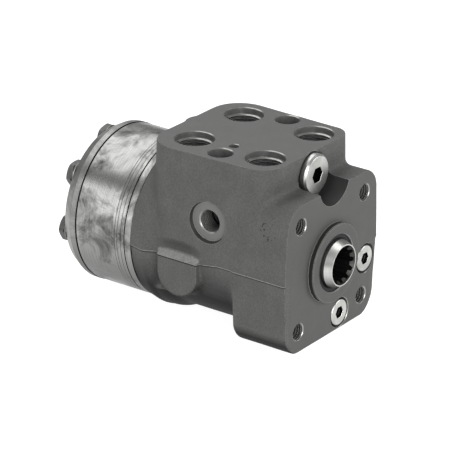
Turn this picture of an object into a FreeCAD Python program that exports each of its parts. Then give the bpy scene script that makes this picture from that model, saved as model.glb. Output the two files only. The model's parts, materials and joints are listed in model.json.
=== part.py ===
import FreeCAD, Part
import math
import os

# Orbital steering unit. Millimetres. The spool axis lies along Y, the column face is the plane
# y = 0 and looks towards -Y, the ports open towards +Z and the small sensing port towards -X.
# The origin is the centre of the four column screws on the column face.

# Column mount
mount_circle = 82.5
mount_core_r = 4.25
mount_depth = 16.0
mount_edge = 0.45

# Front flange of the casting
flange_length = 34.0
flange_corner_r = 12.0
flange_edge_round = 1.2
casting_draft = 3.3

# Pilot boss
pilot_r = 21.5
pilot_height = 3.0
pilot_edge = 0.5

# Port block
block_top = 57.5
block_front = 13.8
block_rear_step = 5.9
block_left_front = 38.6
block_left_rear = 41.4
block_right_front = 36.8
block_right_rear = 39.0
block_left_limit = 42.3
block_nose_corner_r = 12.0
block_corner_r = 9.0
block_rear_corner_r = 18.0
block_edge = 0.4
rear_rib_r = 9.0
rear_rib_stand = 1.4
rear_rib_foot = 2.0

# Barrel and rear collar
housing_length = 96.9
barrel_r = 41.7
collar_length = 15.9
collar_foot_round = 5.0
crown_inset = 9.4
collar_crown_r = 45.9
crown_round = 4.0
gear_set_r = 43.5
belly_lead = 8.5
belly_slope = 5.0
belly_r = 44.8
belly_round = 3.0

# Side lugs
lug_y = 66.75
lug_half = 12.75
lug_top = -1.5
lug_bottom = -22.5
lug_face = 44.5
lug_flare = 2.5
lug_sink = 12.0
lug_corner_r = 1.5
lug_ledge = 2.6

# Notch in front of the relief plug
notch_r = 14.0
notch_x = 0.7
notch_z = 45.3

# Main ports in the top face
port_x = 22.0
port_front_y = 27.8
port_rear_y = 72.2
port_core_r = 9.3
port_sink_r = 10.5
port_sink_depth = 3.5
port_depth = 17.0
passage_r = 4.0
passage_across = 0.6
passage_up = 0.75

# Screw holes and dowel hole of the top face
block_screw_x = 30.07
block_screw_y = 50.0
block_screw_r = 6.5
block_screw_depth = 22.0
hole_edge = 0.45
dowel_x = -18.1
dowel_r = 2.7
dowel_depth = 8.0

# Sensing port in the left side
sense_y = 49.0
sense_z = 23.1
sense_floor = 40.0
sense_floor_r = 10.5
sense_rim_r = 12.1
sense_core_r = 5.9
sense_depth = 12.0
sense_step_r = 4.5
sense_step_depth = 17.0
orifice_r = 2.0

# Main bore
bore_r = 20.0
bore_groove_r = 22.8
bore_groove_width = 5.0
bore_groove_ys = (42.0, 54.0, 66.0, 78.0)
running = 0.03

# Dust seal, shaft seal and the throat between them
dust_bore_r = 15.6
dust_depth = 2.5
dust_recess = 0.8
throat_r = 13.4
shaft_seal_y = 5.5
shaft_seal_width = 3.5
shaft_seal_r = 17.5
dust_lip_rise = 0.6
dust_lip_back = 1.4
dust_lip_flare = 0.8
dust_pocket_y = 1.8
dust_pocket_gap = 1.2
shaft_lip_flare = 1.5
lip_gap = 0.05
seal_play = 0.1

# Thrust bearing
race_thickness = 2.5
race_bore_r = 13.2
needle_r = 1.25
needle_inner_r = 14.0
needle_length = 4.4
needle_count = 16
cage_thickness = 1.6
cage_rim = 0.5
bearing_gap = 0.02

# Spool
nose_r = 12.9
nose_reach = 7.6
nose_edge = 1.0
spool_r = 15.0
spool_end_gap = 3.5
cavity_r = 11.3
cavity_front = 18.5
column_teeth = 12
column_root_r = 8.9
column_tip_r = 10.3
column_root_share = 0.62
column_tip_share = 0.36
column_depth = 21.5
column_mouth_r = 11.0
spool_slot_count = 12
spool_slot_width = 3.0
spool_slot_depth = 1.3
spool_slot_length = 13.0
spool_slot_ys = (52.0, 73.0)
spool_slot_turn = 15.0

# Sleeve
sleeve_end_gap = 0.6
sleeve_groove_depth = 1.0
sleeve_row_r = 1.4
sleeve_row_ys = (48.0, 60.0, 72.0)
sleeve_row_counts = (6, 12, 6)

# Centring springs and the ring that covers them
leaf_length = 37.0
leaf_width = 6.4
leaf_thickness = 0.55
leaf_gap = 0.05
leaf_bow = 1.3
leaf_y = 23.5
leaf_play = 0.2
spring_ring_wall = 0.95
spring_ring_width = 9.0

# Cross pin
pin_y = 36.0
pin_r = 4.0
pin_inset = 0.6
deflection = 8.0
pin_play = 0.15

# Gear set
plate_thickness = 4.4
ring_width = 32.0
lobe_count = 7
lobe_circle_r = 31.5
lobe_r = 7.0
eccentricity = 2.7
mesh_gap = 0.06
valley_gap = 0.1
rotor_side_gap = 0.04
part_edge = 0.35
plate_bore_r = 12.5
feed_circle_r = 26.5
feed_r = 2.4
feed_depth = 17.0
feed_branch_r = 1.9

# Cardan shaft
fork_r = 10.4
fork_front = 6.5
fork_rear = 8.0
fork_play = 0.2
fork_edge = 1.0
shaft_r = 7.0
neck_length = 5.0
neck_round = 4.0
head_lead = 3.0
drive_teeth = 12
drive_root_r = 8.9
drive_tip_r = 11.2
drive_root_share = 0.60
drive_tip_share = 0.36
drive_play = 0.35
drive_half = 6.0
drive_set_back = 0.5
spacer_r = 8.2
spacer_lead = 1.0
spacer_gap = 0.5

# End cover
cover_thickness = 9.5
cover_overhang = 0.3
cover_band = 3.7
cover_taper = 3.2
cover_round = 0.8

# Cover screws
screw_circle_r = 33.5
screw_start = 90.0
screw_r = 4.0
screw_core_r = 3.4
screw_depth = 18.0
screw_play = 0.3
screw_flats = 13.0
screw_head = 4.3
head_turn = 15.0
head_stand = 0.1
head_crown = 0.6
head_crown_inset = 0.3
washer_r = 7.6
washer_thickness = 1.0
special_index = 3
suction_indices = (4, 5)

# O-rings between the rear pieces
o_ring_mean_r = 40.1
o_ring_wire_r = 0.75
o_ring_sides = 12
o_ring_groove_depth = 1.35
o_ring_groove_half = 0.95

# Ball valves behind three of the cover screws
valve_bore_r = 3.2
valve_bore_length = 34.9
valve_ball_r = 3.0
valve_seat_r = 1.8
valve_seat_depth = 8.0
valve_feed_r = 0.9
valve_travel = 1.2
valve_pin_r = 2.9
seat_gap = 0.05

# Relief valve
relief_z = 45.5
relief_face = 10.3
relief_head = 3.7
relief_head_r = 11.1
relief_head_edge = 1.2
relief_spot_r = 12.2
relief_spot_depth = 0.8
relief_thread_r = 8.0
relief_thread_end = 25.0
relief_bore_r = 6.0
relief_bore_end = 47.0
relief_seat_r = 2.6
relief_seat_depth = 9.0
relief_socket = 8.0
relief_socket_depth = 5.0
relief_adjuster_y = 26.0
relief_adjuster_length = 5.0
relief_poppet_y = 40.5
relief_guide_length = 3.0
relief_guide_step = 0.8
relief_tip = 0.7
relief_seal_r = 11.7
thread_play = 0.05

# Shock valves in the column face
shock_circle_r = 33.3
shock_angles = (-16.0, -74.0)
shock_sink_r = 8.15
shock_sink_depth = 4.2
shock_head_r = 7.2
shock_head_edge = 0.5
shock_seal_r = 7.9
shock_seal_thickness = 1.2
shock_thread_r = 5.2
shock_thread_end = 14.0
shock_bore_r = 4.6
shock_bore_end = 36.0
shock_seat_r = 2.5
shock_seat_depth = 6.0
shock_ball_r = 4.3
shock_socket = 6.0
shock_socket_depth = 2.2
shock_adjuster_y = 15.0
shock_adjuster_length = 4.0

# Coil springs
relief_coil_r = 4.0
relief_wire_r = 0.6
shock_coil_r = 3.0
shock_wire_r = 0.5
coil_turns = 4
arcs_per_turn = 6
coil_end_gap = 0.2


V = FreeCAD.Vector
ALONG = V(0, 1, 0)
UP = V(0, 0, 1)
LEFT = V(-1, 0, 0)

# Places worked out from the sizes above
hole_offset = mount_circle / 2 * math.cos(math.radians(45))
flange_half = hole_offset + flange_corner_r
draft = math.radians(casting_draft)
block_rear = housing_length - block_rear_step
neck_y = housing_length - collar_length
collar_crown_y = housing_length - crown_inset
belly_front = collar_crown_y - belly_lead
flange_waist = hole_offset + flange_corner_r / math.cos(draft) + hole_offset * math.tan(draft)
flange_shoulder = flange_waist - flange_half * math.tan(draft)
race_y = shaft_seal_y + shaft_seal_width
needle_y = race_y + race_thickness + bearing_gap + needle_r
inner_race_y = needle_y + needle_r + bearing_gap
sleeve_y = inner_race_y + race_thickness
spool_shoulder_y = sleeve_y + seal_play
sleeve_end = housing_length - sleeve_end_gap
spool_end = housing_length - spool_end_gap
valve_bore_end = housing_length - valve_bore_length
sleeve_r = bore_r - running
sleeve_bore_r = spool_r + running
plate_y = housing_length
ring_y = plate_y + plate_thickness
cover_y = ring_y + ring_width
cover_end = cover_y + cover_thickness
cover_r = gear_set_r + cover_overhang
valley_r = lobe_circle_r + 2 * eccentricity - lobe_r + valley_gap
drive_y = ring_y + ring_width / 2 - drive_set_back
cardan_slope = eccentricity / (drive_y - pin_y)
lobe_step = 360.0 / lobe_count
orbit_angle = math.radians(screw_start * lobe_count)
rotor_x = eccentricity * math.cos(orbit_angle)
rotor_z = eccentricity * math.sin(orbit_angle)
deflection_reach = math.sin(math.radians(deflection))
leaf_half_height = 3 * leaf_thickness + 2.5 * leaf_gap + leaf_bow
leaf_slot_half = leaf_half_height + leaf_play


def around(radius, degrees, y=0.0):
    """A point on a circle about the spool axis, counted from +X towards +Z."""
    angle = math.radians(degrees)
    return V(radius * math.cos(angle), y, radius * math.sin(angle))


def bar(radius, y0, y1, x=0.0, z=0.0):
    """A round bar along Y."""
    return Part.makeCylinder(radius, y1 - y0, V(x, y0, z), ALONG)


def tube(inner, outer, y0, y1, x=0.0, z=0.0):
    """A round tube along Y."""
    return bar(outer, y0, y1, x, z).cut(bar(inner, y0, y1, x, z))


def drill(start, end, radius):
    """A round hole from one point to another."""
    return Part.makeCylinder(radius, (end - start).Length, start, end - start)


def cone(start, direction, r0, r1, height):
    return Part.makeCone(r0, r1, height, start, direction)


def outline(corners, place):
    """A closed wire through corners (a, b, radius), put into space by place(a, b)."""
    arcs = []
    count = len(corners)
    for index, (a, b, radius) in enumerate(corners):
        corner = V(a, b, 0)
        back = V(corners[index - 1][0], corners[index - 1][1], 0) - corner
        ahead = V(corners[(index + 1) % count][0], corners[(index + 1) % count][1], 0) - corner
        half = back.getAngle(ahead) / 2
        back.normalize()
        ahead.normalize()
        reach = radius / math.tan(half)
        inward = (back + ahead).normalize() if radius else V(0, 0, 0)
        middle = corner + inward * (radius / math.sin(half) - radius)
        arcs.append((corner + back * reach, middle, corner + ahead * reach))
    edges = []
    for index, (start, middle, end) in enumerate(arcs):
        after = arcs[(index + 1) % count][0]
        if (start - end).Length > 1e-6:
            edges.append(Part.Arc(*[place(p.x, p.y) for p in (start, middle, end)]).toShape())
        if (after - end).Length > 1e-6:
            edges.append(Part.LineSegment(place(end.x, end.y), place(after.x, after.y)).toShape())
    return Part.Wire(edges)


def turned(corners):
    """A solid turned about the spool axis from corners (y, r) or (y, r, rounding)."""
    full = [(c[0], c[1], c[2] if len(c) > 2 else 0) for c in corners]
    wire = outline(full, lambda y, r: V(r, y, 0))
    return Part.Face(wire).revolve(V(0, 0, 0), ALONG, 360)


def hexagon(flats, y0, y1, x=0.0, z=0.0):
    """A hexagonal prism along Y."""
    corner_r = flats / math.sqrt(3)
    points = [around(corner_r, 60 * step, y0) + V(x, 0, z) for step in range(7)]
    return Part.Face(Part.makePolygon(points)).extrude(V(0, y1 - y0, 0))


def toothed(teeth, root_r, tip_r, root_share, tip_share, y0, y1, play=0.0):
    """A splined bar; the shares say how much of the pitch a tooth takes at root and tip."""
    step = 360.0 / teeth
    points = []
    for tooth in range(teeth):
        for side, r, share in ((-1, root_r, root_share), (-1, tip_r, tip_share),
                               (1, tip_r, tip_share), (1, root_r, root_share)):
            flank = share * step / 2 + math.degrees(play / r)
            points.append(around(r + play, tooth * step + side * flank, y0))
    points.append(points[0])
    return Part.Face(Part.makePolygon(points)).extrude(V(0, y1 - y0, 0))


def coil(coil_r, wire_r, y0, y1, x, z):
    """A compression spring along Y, its helix laid in short arcs."""
    rise = y1 - y0 - 2 * wire_r

    def at(turn):
        y = y0 + wire_r + rise * turn / coil_turns
        return around(coil_r, 360 * turn, y) + V(x, 0, z)

    arcs = []
    for step in range(coil_turns * arcs_per_turn):
        points = [at((step + share) / arcs_per_turn) for share in (0, 0.5, 1)]
        arcs.append(Part.Arc(*points).toShape())
    section = Part.makeCircle(wire_r, at(0), arcs[0].tangentAt(arcs[0].FirstParameter))
    return Part.Wire(arcs).makePipe(Part.Face(Part.Wire(section)))


def screw_point(index, y=0.0):
    return around(screw_circle_r, screw_start + index * lobe_step, y)


def shock_point(index, y=0.0):
    return around(shock_circle_r, shock_angles[index], y)


# Casting: outer forms

def flange():
    corners = [(flange_waist, 0, 0), (flange_shoulder, flange_half, flange_corner_r),
               (-flange_shoulder, flange_half, flange_corner_r), (-flange_waist, 0, 0),
               (-flange_shoulder, -flange_half, flange_corner_r),
               (flange_shoulder, -flange_half, flange_corner_r)]
    face = Part.Face(outline(corners, lambda x, z: V(x, 0, z)))
    solid = face.extrude(V(0, flange_length, 0))
    front = [e for e in solid.Edges if e.BoundBox.YMax < 1e-6]
    return solid.makeFillet(flange_edge_round, front)


def uprights(shape, y, side):
    """The corner edges of the port block at y, on one side."""
    return [e for e in shape.Edges if e.BoundBox.ZLength > block_top / 2
            and abs(e.BoundBox.Center.y - y) < 1 and e.BoundBox.Center.x * side > 0]


def outside_wall(front, rear, side):
    """What lies beyond a side wall, which hangs from its top line and leans out with the draft."""
    top_front = V(side * front, block_front, block_top)
    top_rear = V(side * rear, block_rear, block_top)
    down = V(side * math.sin(draft), 0, -math.cos(draft))
    outward = down.cross(top_rear - top_front) * side
    size = 4 * block_rear
    beyond = Part.makeBox(size, size, size, V(0, -size / 2, -size / 2))
    beyond.Placement = FreeCAD.Placement(top_front, FreeCAD.Rotation(V(1, 0, 0), outward))
    return beyond


def port_block():
    half = block_left_limit + block_top
    depth = block_rear - block_front
    block = Part.makeBox(2 * half, depth, block_top, V(-half, block_front, 0))
    block = block.cut([outside_wall(block_left_front, block_left_rear, -1),
                       outside_wall(block_right_front, block_right_rear, 1)])
    block = block.makeFillet(block_nose_corner_r, uprights(block, block_front, -1))
    block = block.makeFillet(block_corner_r, uprights(block, block_front, 1))
    rear = uprights(block, block_rear, -1) + uprights(block, block_rear, 1)
    block = block.makeFillet(block_rear_corner_r, rear)
    too_wide = Part.makeBox(block_top, depth, block_top, V(-half, block_front, 0))
    block = block.cut(too_wide)
    rib_y = block_rear + rear_rib_stand - rear_rib_r
    rib = Part.makeCylinder(rear_rib_r, block_top, V(0, rib_y, 0), UP)
    block = block.fuse(rib).removeSplitter()
    feet = [e for e in uprights(block, block_rear, -1) + uprights(block, block_rear, 1)
            if abs(e.BoundBox.Center.x) < rear_rib_r]
    block = block.makeFillet(rear_rib_foot, feet)
    rim = [e for e in block.Edges if e.BoundBox.ZMin > block_top - 1e-6]
    return block.makeChamfer(block_edge, rim)


def barrel():
    start = flange_length / 2
    return turned([(start, 0), (start, barrel_r), (neck_y, barrel_r, collar_foot_round),
                   (collar_crown_y, collar_crown_r, crown_round), (housing_length, gear_set_r),
                   (housing_length, 0)])


def belly():
    """The thicker band under the barrel, between the two side lugs."""
    band = turned([(belly_front - belly_slope, 0), (belly_front - belly_slope, barrel_r - 1),
                   (belly_front, belly_r, belly_round), (collar_crown_y, belly_r),
                   (collar_crown_y, 0)])
    half = 2 * belly_r
    below = Part.makeBox(2 * half, housing_length, half, V(-half, 0, lug_bottom - half))
    return band.common(below)


def side_lug(side):
    def section(x, flare):
        half = lug_half + flare
        corners = [(lug_y - half, lug_top + flare / 2, lug_corner_r),
                   (lug_y + half, lug_top + flare / 2, lug_corner_r),
                   (lug_y + half, lug_bottom - flare, 0.999 * half),
                   (lug_y - half, lug_bottom - flare, 0.999 * half)]
        return outline(corners, lambda y, z: V(side * x, y, z))
    solid = Part.makeLoft([section(lug_face, 0), section(barrel_r - lug_sink, lug_flare)], True, True)
    edge = [V(side * lug_face, 0, lug_top - lug_ledge), V(side * (lug_face + 1), 0, lug_top + 2),
            V(side * (lug_face - lug_ledge), 0, lug_top + 2)]
    ledge = Part.Face(Part.makePolygon(edge + edge[:1])).extrude(V(0, housing_length, 0))
    return solid.cut(ledge)


# Casting: holes

def spool_bore():
    corners = [(-pilot_height - 1, 0), (-pilot_height - 1, dust_bore_r), (dust_depth, dust_bore_r),
               (dust_depth, throat_r), (shaft_seal_y, throat_r), (shaft_seal_y, shaft_seal_r),
               (race_y, shaft_seal_r), (race_y, bore_r)]
    for y in bore_groove_ys:
        half = bore_groove_width / 2
        corners += [(y - half, bore_r), (y - half, bore_groove_r), (y + half, bore_groove_r),
                    (y + half, bore_r)]
    corners += [(housing_length + 1, bore_r), (housing_length + 1, 0)]
    return turned(corners)


def column_holes():
    holes = []
    for sx in (-1, 1):
        for sz in (-1, 1):
            point = V(sx * hole_offset, 0, sz * hole_offset)
            holes.append(bar(mount_core_r, -1, mount_depth, point.x, point.z))
            holes.append(cone(point, ALONG, mount_core_r + mount_edge, mount_core_r, mount_edge))
    return holes


def bore_side(side, y):
    """Where a slanting passage breaks into the upper left or right of the main bore."""
    return V(side * passage_across * bore_r, y, passage_up * bore_r)


def top_port(x, y, groove_y):
    """One threaded port, its sink and the passage from its floor to a groove of the bore."""
    floor = block_top - port_depth
    side = 1 if x > 0 else -1
    return [Part.makeCylinder(port_core_r, port_depth + 1, V(x, y, floor), UP),
            Part.makeCylinder(port_sink_r, port_sink_depth + 1,
                              V(x, y, block_top - port_sink_depth), UP),
            drill(V(x, y, floor + 1), bore_side(side, groove_y), passage_r)]


def top_face_holes():
    holes = []
    for side in (-1, 1):
        point = V(side * block_screw_x, block_screw_y, block_top - block_screw_depth)
        holes.append(Part.makeCylinder(block_screw_r, block_screw_depth + 1, point, UP))
        mouth = V(point.x, point.y, block_top - hole_edge)
        holes.append(cone(mouth, UP, block_screw_r, block_screw_r + hole_edge, hole_edge))
        holes += top_port(side * port_x, port_front_y, bore_groove_ys[0 if side < 0 else 1])
        holes += top_port(side * port_x, port_rear_y, bore_groove_ys[3 if side < 0 else 2])
    dowel = V(dowel_x, block_screw_y, block_top - dowel_depth)
    holes.append(Part.makeCylinder(dowel_r, dowel_depth + 1, dowel, UP))
    return holes


def sensing_port():
    floor = V(-sense_floor, sense_y, sense_z)
    inner = floor - LEFT * sense_step_depth
    rim_depth = flange_waist - sense_floor + 1
    slope = (sense_rim_r - sense_floor_r) / 2
    return [cone(floor, LEFT, sense_floor_r, sense_floor_r + slope * rim_depth, rim_depth),
            drill(floor, floor - LEFT * sense_depth, sense_core_r),
            cone(floor, V(1, 0, 0), sense_core_r + hole_edge, sense_core_r, hole_edge),
            drill(floor, inner, sense_step_r),
            drill(inner - V(1, 0, 1), bore_side(-1, sense_y), orifice_r)]


def relief_holes():
    spot_y = block_front + relief_spot_depth
    return [bar(relief_spot_r, spot_y - relief_spot_r, spot_y, 0, relief_z),
            bar(relief_thread_r, spot_y - 1, relief_thread_end, 0, relief_z),
            bar(relief_bore_r, spot_y, relief_bore_end, 0, relief_z),
            bar(relief_seat_r, spot_y, relief_bore_end + relief_seat_depth, 0, relief_z),
            drill(V(0, relief_bore_end + relief_seat_depth / 2, relief_z),
                  V(0, bore_groove_ys[1], bore_r), orifice_r)]


def shock_holes(index):
    p = shock_point(index)
    seat_end = shock_bore_end + shock_seat_depth
    return [bar(shock_sink_r, -1, shock_sink_depth, p.x, p.z),
            bar(shock_thread_r, 0, shock_thread_end, p.x, p.z),
            bar(shock_bore_r, 0, shock_bore_end, p.x, p.z),
            bar(shock_seat_r, 0, seat_end, p.x, p.z),
            drill(V(p.x, seat_end - shock_seat_r, p.z),
                  around(bore_r, shock_angles[index], seat_end - shock_seat_r), orifice_r)]


def rear_holes():
    holes = []
    for index in range(lobe_count):
        p = screw_point(index)
        holes.append(bar(screw_core_r, housing_length - screw_depth - 2, housing_length + 1,
                         p.x, p.z))
        if index == special_index or index in suction_indices:
            holes.append(bar(valve_bore_r, valve_bore_end, housing_length, p.x, p.z))
            seat_end = valve_bore_end - valve_seat_depth
            holes.append(bar(valve_seat_r, seat_end, housing_length, p.x, p.z))
            holes.append(drill(V(p.x, seat_end + valve_seat_r, p.z),
                               around(bore_r, screw_start + index * lobe_step,
                                      seat_end + valve_seat_r), valve_feed_r))
        valley = screw_start + (index + 0.5) * lobe_step
        mouth = around(feed_circle_r, valley, housing_length)
        holes.append(bar(feed_r, housing_length - feed_depth, housing_length + 1,
                         mouth.x, mouth.z))
        inner = around(feed_circle_r, valley, housing_length - feed_depth + feed_r)
        holes.append(drill(inner, around(bore_r - 1, valley, inner.y), feed_branch_r))
    holes.append(o_ring_groove(housing_length, -1))
    return holes


def o_ring_groove(y, side):
    """The groove for an O-ring in the face at y; side tells which way it goes in."""
    start = min(y, y + side * o_ring_groove_depth)
    return tube(o_ring_mean_r - o_ring_groove_half, o_ring_mean_r + o_ring_groove_half,
                start, start + o_ring_groove_depth)


def housing():
    body = flange().fuse([port_block(), barrel(), side_lug(-1), side_lug(1), belly()])
    pilot = turned([(-pilot_height, 0), (-pilot_height, pilot_r - pilot_edge),
                    (-pilot_height + pilot_edge, pilot_r), (1, pilot_r), (1, 0)])
    notch = bar(notch_r, -1, block_front, notch_x, notch_z)
    body = body.cut(notch).fuse(pilot).removeSplitter()
    holes = [spool_bore()] + column_holes() + top_face_holes() + sensing_port()
    holes += relief_holes() + shock_holes(0) + shock_holes(1) + rear_holes()
    return body.cut(holes)


# Gear set

def screw_clearance(y0, y1):
    return [bar(screw_r + screw_play, y0 - 1, y1 + 1, screw_point(i).x, screw_point(i).z)
            for i in range(lobe_count)]


def rear_disc(radius, y0, y1):
    """A round plate with broken edges and the holes of the cover screws."""
    blank = turned([(y0, 0), (y0, radius - part_edge), (y0 + part_edge, radius),
                    (y1 - part_edge, radius), (y1, radius - part_edge), (y1, 0)])
    return blank.cut(screw_clearance(y0, y1))


def distributor_plate():
    holes = [bar(plate_bore_r, plate_y - 1, ring_y + 1)]
    for index in range(lobe_count):
        p = around(feed_circle_r, screw_start + (index + 0.5) * lobe_step)
        holes.append(bar(feed_r, plate_y - 1, ring_y + 1, p.x, p.z))
    return rear_disc(gear_set_r, plate_y, ring_y).cut(holes)


def gear_ring():
    pocket = bar(valley_r, ring_y - 1, cover_y + 1)
    lobes = []
    for index in range(lobe_count):
        p = around(lobe_circle_r, screw_start + index * lobe_step)
        lobes.append(bar(lobe_r, ring_y - 2, cover_y + 2, p.x, p.z))
    blank = rear_disc(gear_set_r, ring_y, cover_y).cut(pocket.cut(lobes))
    return blank.cut([o_ring_groove(ring_y, 1)])


def end_cover():
    blank = turned([(cover_y, 0), (cover_y, cover_r - part_edge), (cover_y + part_edge, cover_r),
                    (cover_y + cover_band, cover_r, cover_round),
                    (cover_end, cover_r - cover_taper, cover_round),
                    (cover_end, 0)])
    return blank.cut(screw_clearance(cover_y, cover_end) + [o_ring_groove(cover_y, 1)])


def rotor_profile(y):
    """The curve that the ring's lobes leave: an even inset of the path of a lobe's centre."""
    points = []
    steps = 16 * (lobe_count - 1)
    inset = lobe_r + mesh_gap
    for step in range(steps):
        a = 2 * math.pi * step / steps
        x = lobe_circle_r * math.cos(a) - eccentricity * math.cos(lobe_count * a)
        z = lobe_circle_r * math.sin(a) - eccentricity * math.sin(lobe_count * a)
        dx = -lobe_circle_r * math.sin(a) + lobe_count * eccentricity * math.sin(lobe_count * a)
        dz = lobe_circle_r * math.cos(a) - lobe_count * eccentricity * math.cos(lobe_count * a)
        speed = math.hypot(dx, dz)
        points.append(V(x - inset * dz / speed, y, z + inset * dx / speed))
    curve = Part.BSplineCurve()
    curve.interpolate(Points=points, PeriodicFlag=True)
    return Part.Wire(curve.toShape())


def rotor():
    y0 = ring_y + rotor_side_gap
    y1 = cover_y - rotor_side_gap
    star = Part.Face(rotor_profile(y0)).extrude(V(0, y1 - y0, 0))
    socket = toothed(drive_teeth, drive_root_r, drive_tip_r, drive_root_share, drive_tip_share,
                     y0 - 1, y1 + 1, drive_play)
    star = star.cut(socket)
    star.translate(V(rotor_x, 0, rotor_z))
    return star


def rotor_spacer():
    start = drive_y + drive_half + spacer_lead
    return bar(spacer_r, start, cover_y - spacer_gap, rotor_x, rotor_z)


def cardan_shaft():
    """Drawn along the spool axis, then swung about the cross pin onto the rotor's axis."""
    head_y = drive_y - drive_half
    neck_rear = pin_y + fork_rear + neck_length
    cone_length = drive_root_r - shaft_r
    body = turned([(pin_y - fork_front, 0), (pin_y - fork_front, fork_r, fork_edge),
                   (pin_y + fork_rear, fork_r, fork_edge), (neck_rear, shaft_r, neck_round),
                   (head_y - head_lead, shaft_r), (head_y - head_lead + cone_length, drive_root_r),
                   (drive_y + drive_half, drive_root_r), (drive_y + drive_half, 0)])
    head = toothed(drive_teeth, drive_root_r, drive_tip_r, drive_root_share, drive_tip_share,
                   head_y, drive_y + drive_half)
    slot_half = pin_r + fork_play
    slot_floor = pin_y + slot_half + fork_r * cardan_slope
    slot_mouth = pin_y - fork_front - 1
    slot = Part.makeBox(2 * slot_half, slot_floor - slot_mouth, 4 * fork_r,
                        V(-slot_half, slot_mouth, -2 * fork_r))
    shaft = body.fuse(head).cut(slot)
    hinge = ALONG.cross(V(rotor_x, 0, rotor_z))
    shaft.rotate(V(0, pin_y, 0), hinge, math.degrees(math.atan(cardan_slope)))
    return shaft


# Spool and sleeve

def spool():
    body = turned([(-nose_reach, 0), (-nose_reach, nose_r - nose_edge),
                   (-nose_reach + nose_edge, nose_r), (spool_shoulder_y, nose_r),
                   (spool_shoulder_y, spool_r), (spool_end, spool_r), (spool_end, cavity_r),
                   (cavity_front, cavity_r), (cavity_front, 0)])
    column_end = -nose_reach + column_depth
    mouth_depth = column_mouth_r - column_tip_r
    cuts = [toothed(column_teeth, column_root_r, column_tip_r, column_root_share,
                    column_tip_share, -nose_reach - 1, column_end),
            cone(V(0, -nose_reach, 0), ALONG, column_mouth_r, column_tip_r, mouth_depth),
            cone(V(0, -nose_reach, 0), ALONG, column_mouth_r, column_root_r,
                 column_mouth_r - column_root_r),
            Part.makeBox(4 * spool_r, leaf_width + 2 * leaf_play, 2 * leaf_slot_half,
                         V(-2 * spool_r, leaf_y - leaf_width / 2 - leaf_play, -leaf_slot_half))]
    eye_r = pin_r + spool_r * deflection_reach + pin_play
    cuts.append(Part.makeCylinder(eye_r, 4 * spool_r, V(0, pin_y, -2 * spool_r), UP))
    for index in range(spool_slot_count):
        y = spool_slot_ys[index % 2] - spool_slot_length / 2
        box = Part.makeBox(spool_r, spool_slot_length, spool_slot_width,
                           V(spool_r - spool_slot_depth, y, -spool_slot_width / 2))
        box.rotate(V(0, 0, 0), ALONG, index * 360.0 / spool_slot_count + spool_slot_turn)
        cuts.append(box)
    return body.cut(cuts)


def sleeve():
    ring_front = leaf_y - spring_ring_width / 2 - leaf_play
    ring_rear = leaf_y + spring_ring_width / 2 + leaf_play
    ring_floor = sleeve_r - spring_ring_wall - running
    corners = [(sleeve_y, sleeve_bore_r), (sleeve_y, sleeve_r), (ring_front, sleeve_r),
               (ring_front, ring_floor), (ring_rear, ring_floor), (ring_rear, sleeve_r)]
    for y in bore_groove_ys:
        half = bore_groove_width / 2
        floor = sleeve_r - sleeve_groove_depth
        corners += [(y - half, sleeve_r), (y - half, floor), (y + half, floor),
                    (y + half, sleeve_r)]
    corners += [(sleeve_end, sleeve_r), (sleeve_end, sleeve_bore_r)]
    cuts = [Part.makeBox(4 * sleeve_r, leaf_width + 2 * leaf_play, 2 * leaf_slot_half,
                         V(-2 * sleeve_r, leaf_y - leaf_width / 2 - leaf_play, -leaf_slot_half)),
            Part.makeCylinder(pin_r + running, 4 * sleeve_r, V(0, pin_y, -2 * sleeve_r), UP)]
    for y, count in zip(sleeve_row_ys, sleeve_row_counts):
        for index in range(count):
            angle = (index + 0.5) * 360.0 / count
            cuts.append(drill(around(spool_r / 2, angle, y), around(2 * sleeve_r, angle, y),
                              sleeve_row_r))
    return turned(corners).cut(cuts)


def spring_ring():
    return tube(sleeve_r - spring_ring_wall, sleeve_r - running, leaf_y - spring_ring_width / 2,
                leaf_y + spring_ring_width / 2)


def leaf(level, bow, side):
    """One leaf spring: flat, or arched away from the middle of the pack."""
    half = leaf_length / 2
    y = leaf_y - leaf_width / 2
    low = [V(-half, y, side * (level + bow)), V(0, y, side * level), V(half, y, side * (level + bow))]
    high = [p + V(0, 0, side * leaf_thickness) for p in low]
    if bow:
        under = Part.Arc(*low).toShape()
        over = Part.Arc(*high).toShape()
    else:
        under = Part.LineSegment(low[0], low[2]).toShape()
        over = Part.LineSegment(high[0], high[2]).toShape()
    ends = [Part.LineSegment(low[i], high[i]).toShape() for i in (0, 2)]
    wire = Part.Wire(Part.__sortEdges__([under, ends[1], over, ends[0]]))
    return Part.Face(wire).extrude(V(0, leaf_width, 0))


def centring_springs():
    leaves = []
    pitch = leaf_thickness + leaf_gap
    for side in (-1, 1):
        leaves.append(leaf(leaf_gap / 2, 0, side))
        leaves.append(leaf(leaf_gap / 2 + pitch, leaf_bow, side))
        leaves.append(leaf(leaf_gap / 2 + 2 * pitch, leaf_bow, side))
    return Part.makeCompound(leaves)


def cross_pin():
    half = math.sqrt(sleeve_r ** 2 - pin_r ** 2) - pin_inset
    pin = Part.makeCylinder(pin_r, 2 * half, V(0, pin_y, -half), UP)
    return pin.makeChamfer(pin_inset, [e for e in pin.Edges if e.BoundBox.ZLength < 1e-6])


# Bearing and seals

def race(y):
    return tube(race_bore_r, sleeve_r, y, y + race_thickness)


def needle(index, radius, length):
    angle = index * 360.0 / needle_count
    start = around(needle_inner_r - (length - needle_length) / 2, angle, needle_y)
    return drill(start, start + around(length, angle), radius)


def needles():
    return Part.makeCompound([needle(i, needle_r, needle_length) for i in range(needle_count)])


def needle_cage():
    half = cage_thickness / 2
    blank = tube(needle_inner_r - cage_rim, needle_inner_r + needle_length + cage_rim,
                 needle_y - half, needle_y + half)
    return blank.cut([needle(i, needle_r + bearing_gap, needle_length + 4 * bearing_gap)
                      for i in range(needle_count)])


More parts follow.
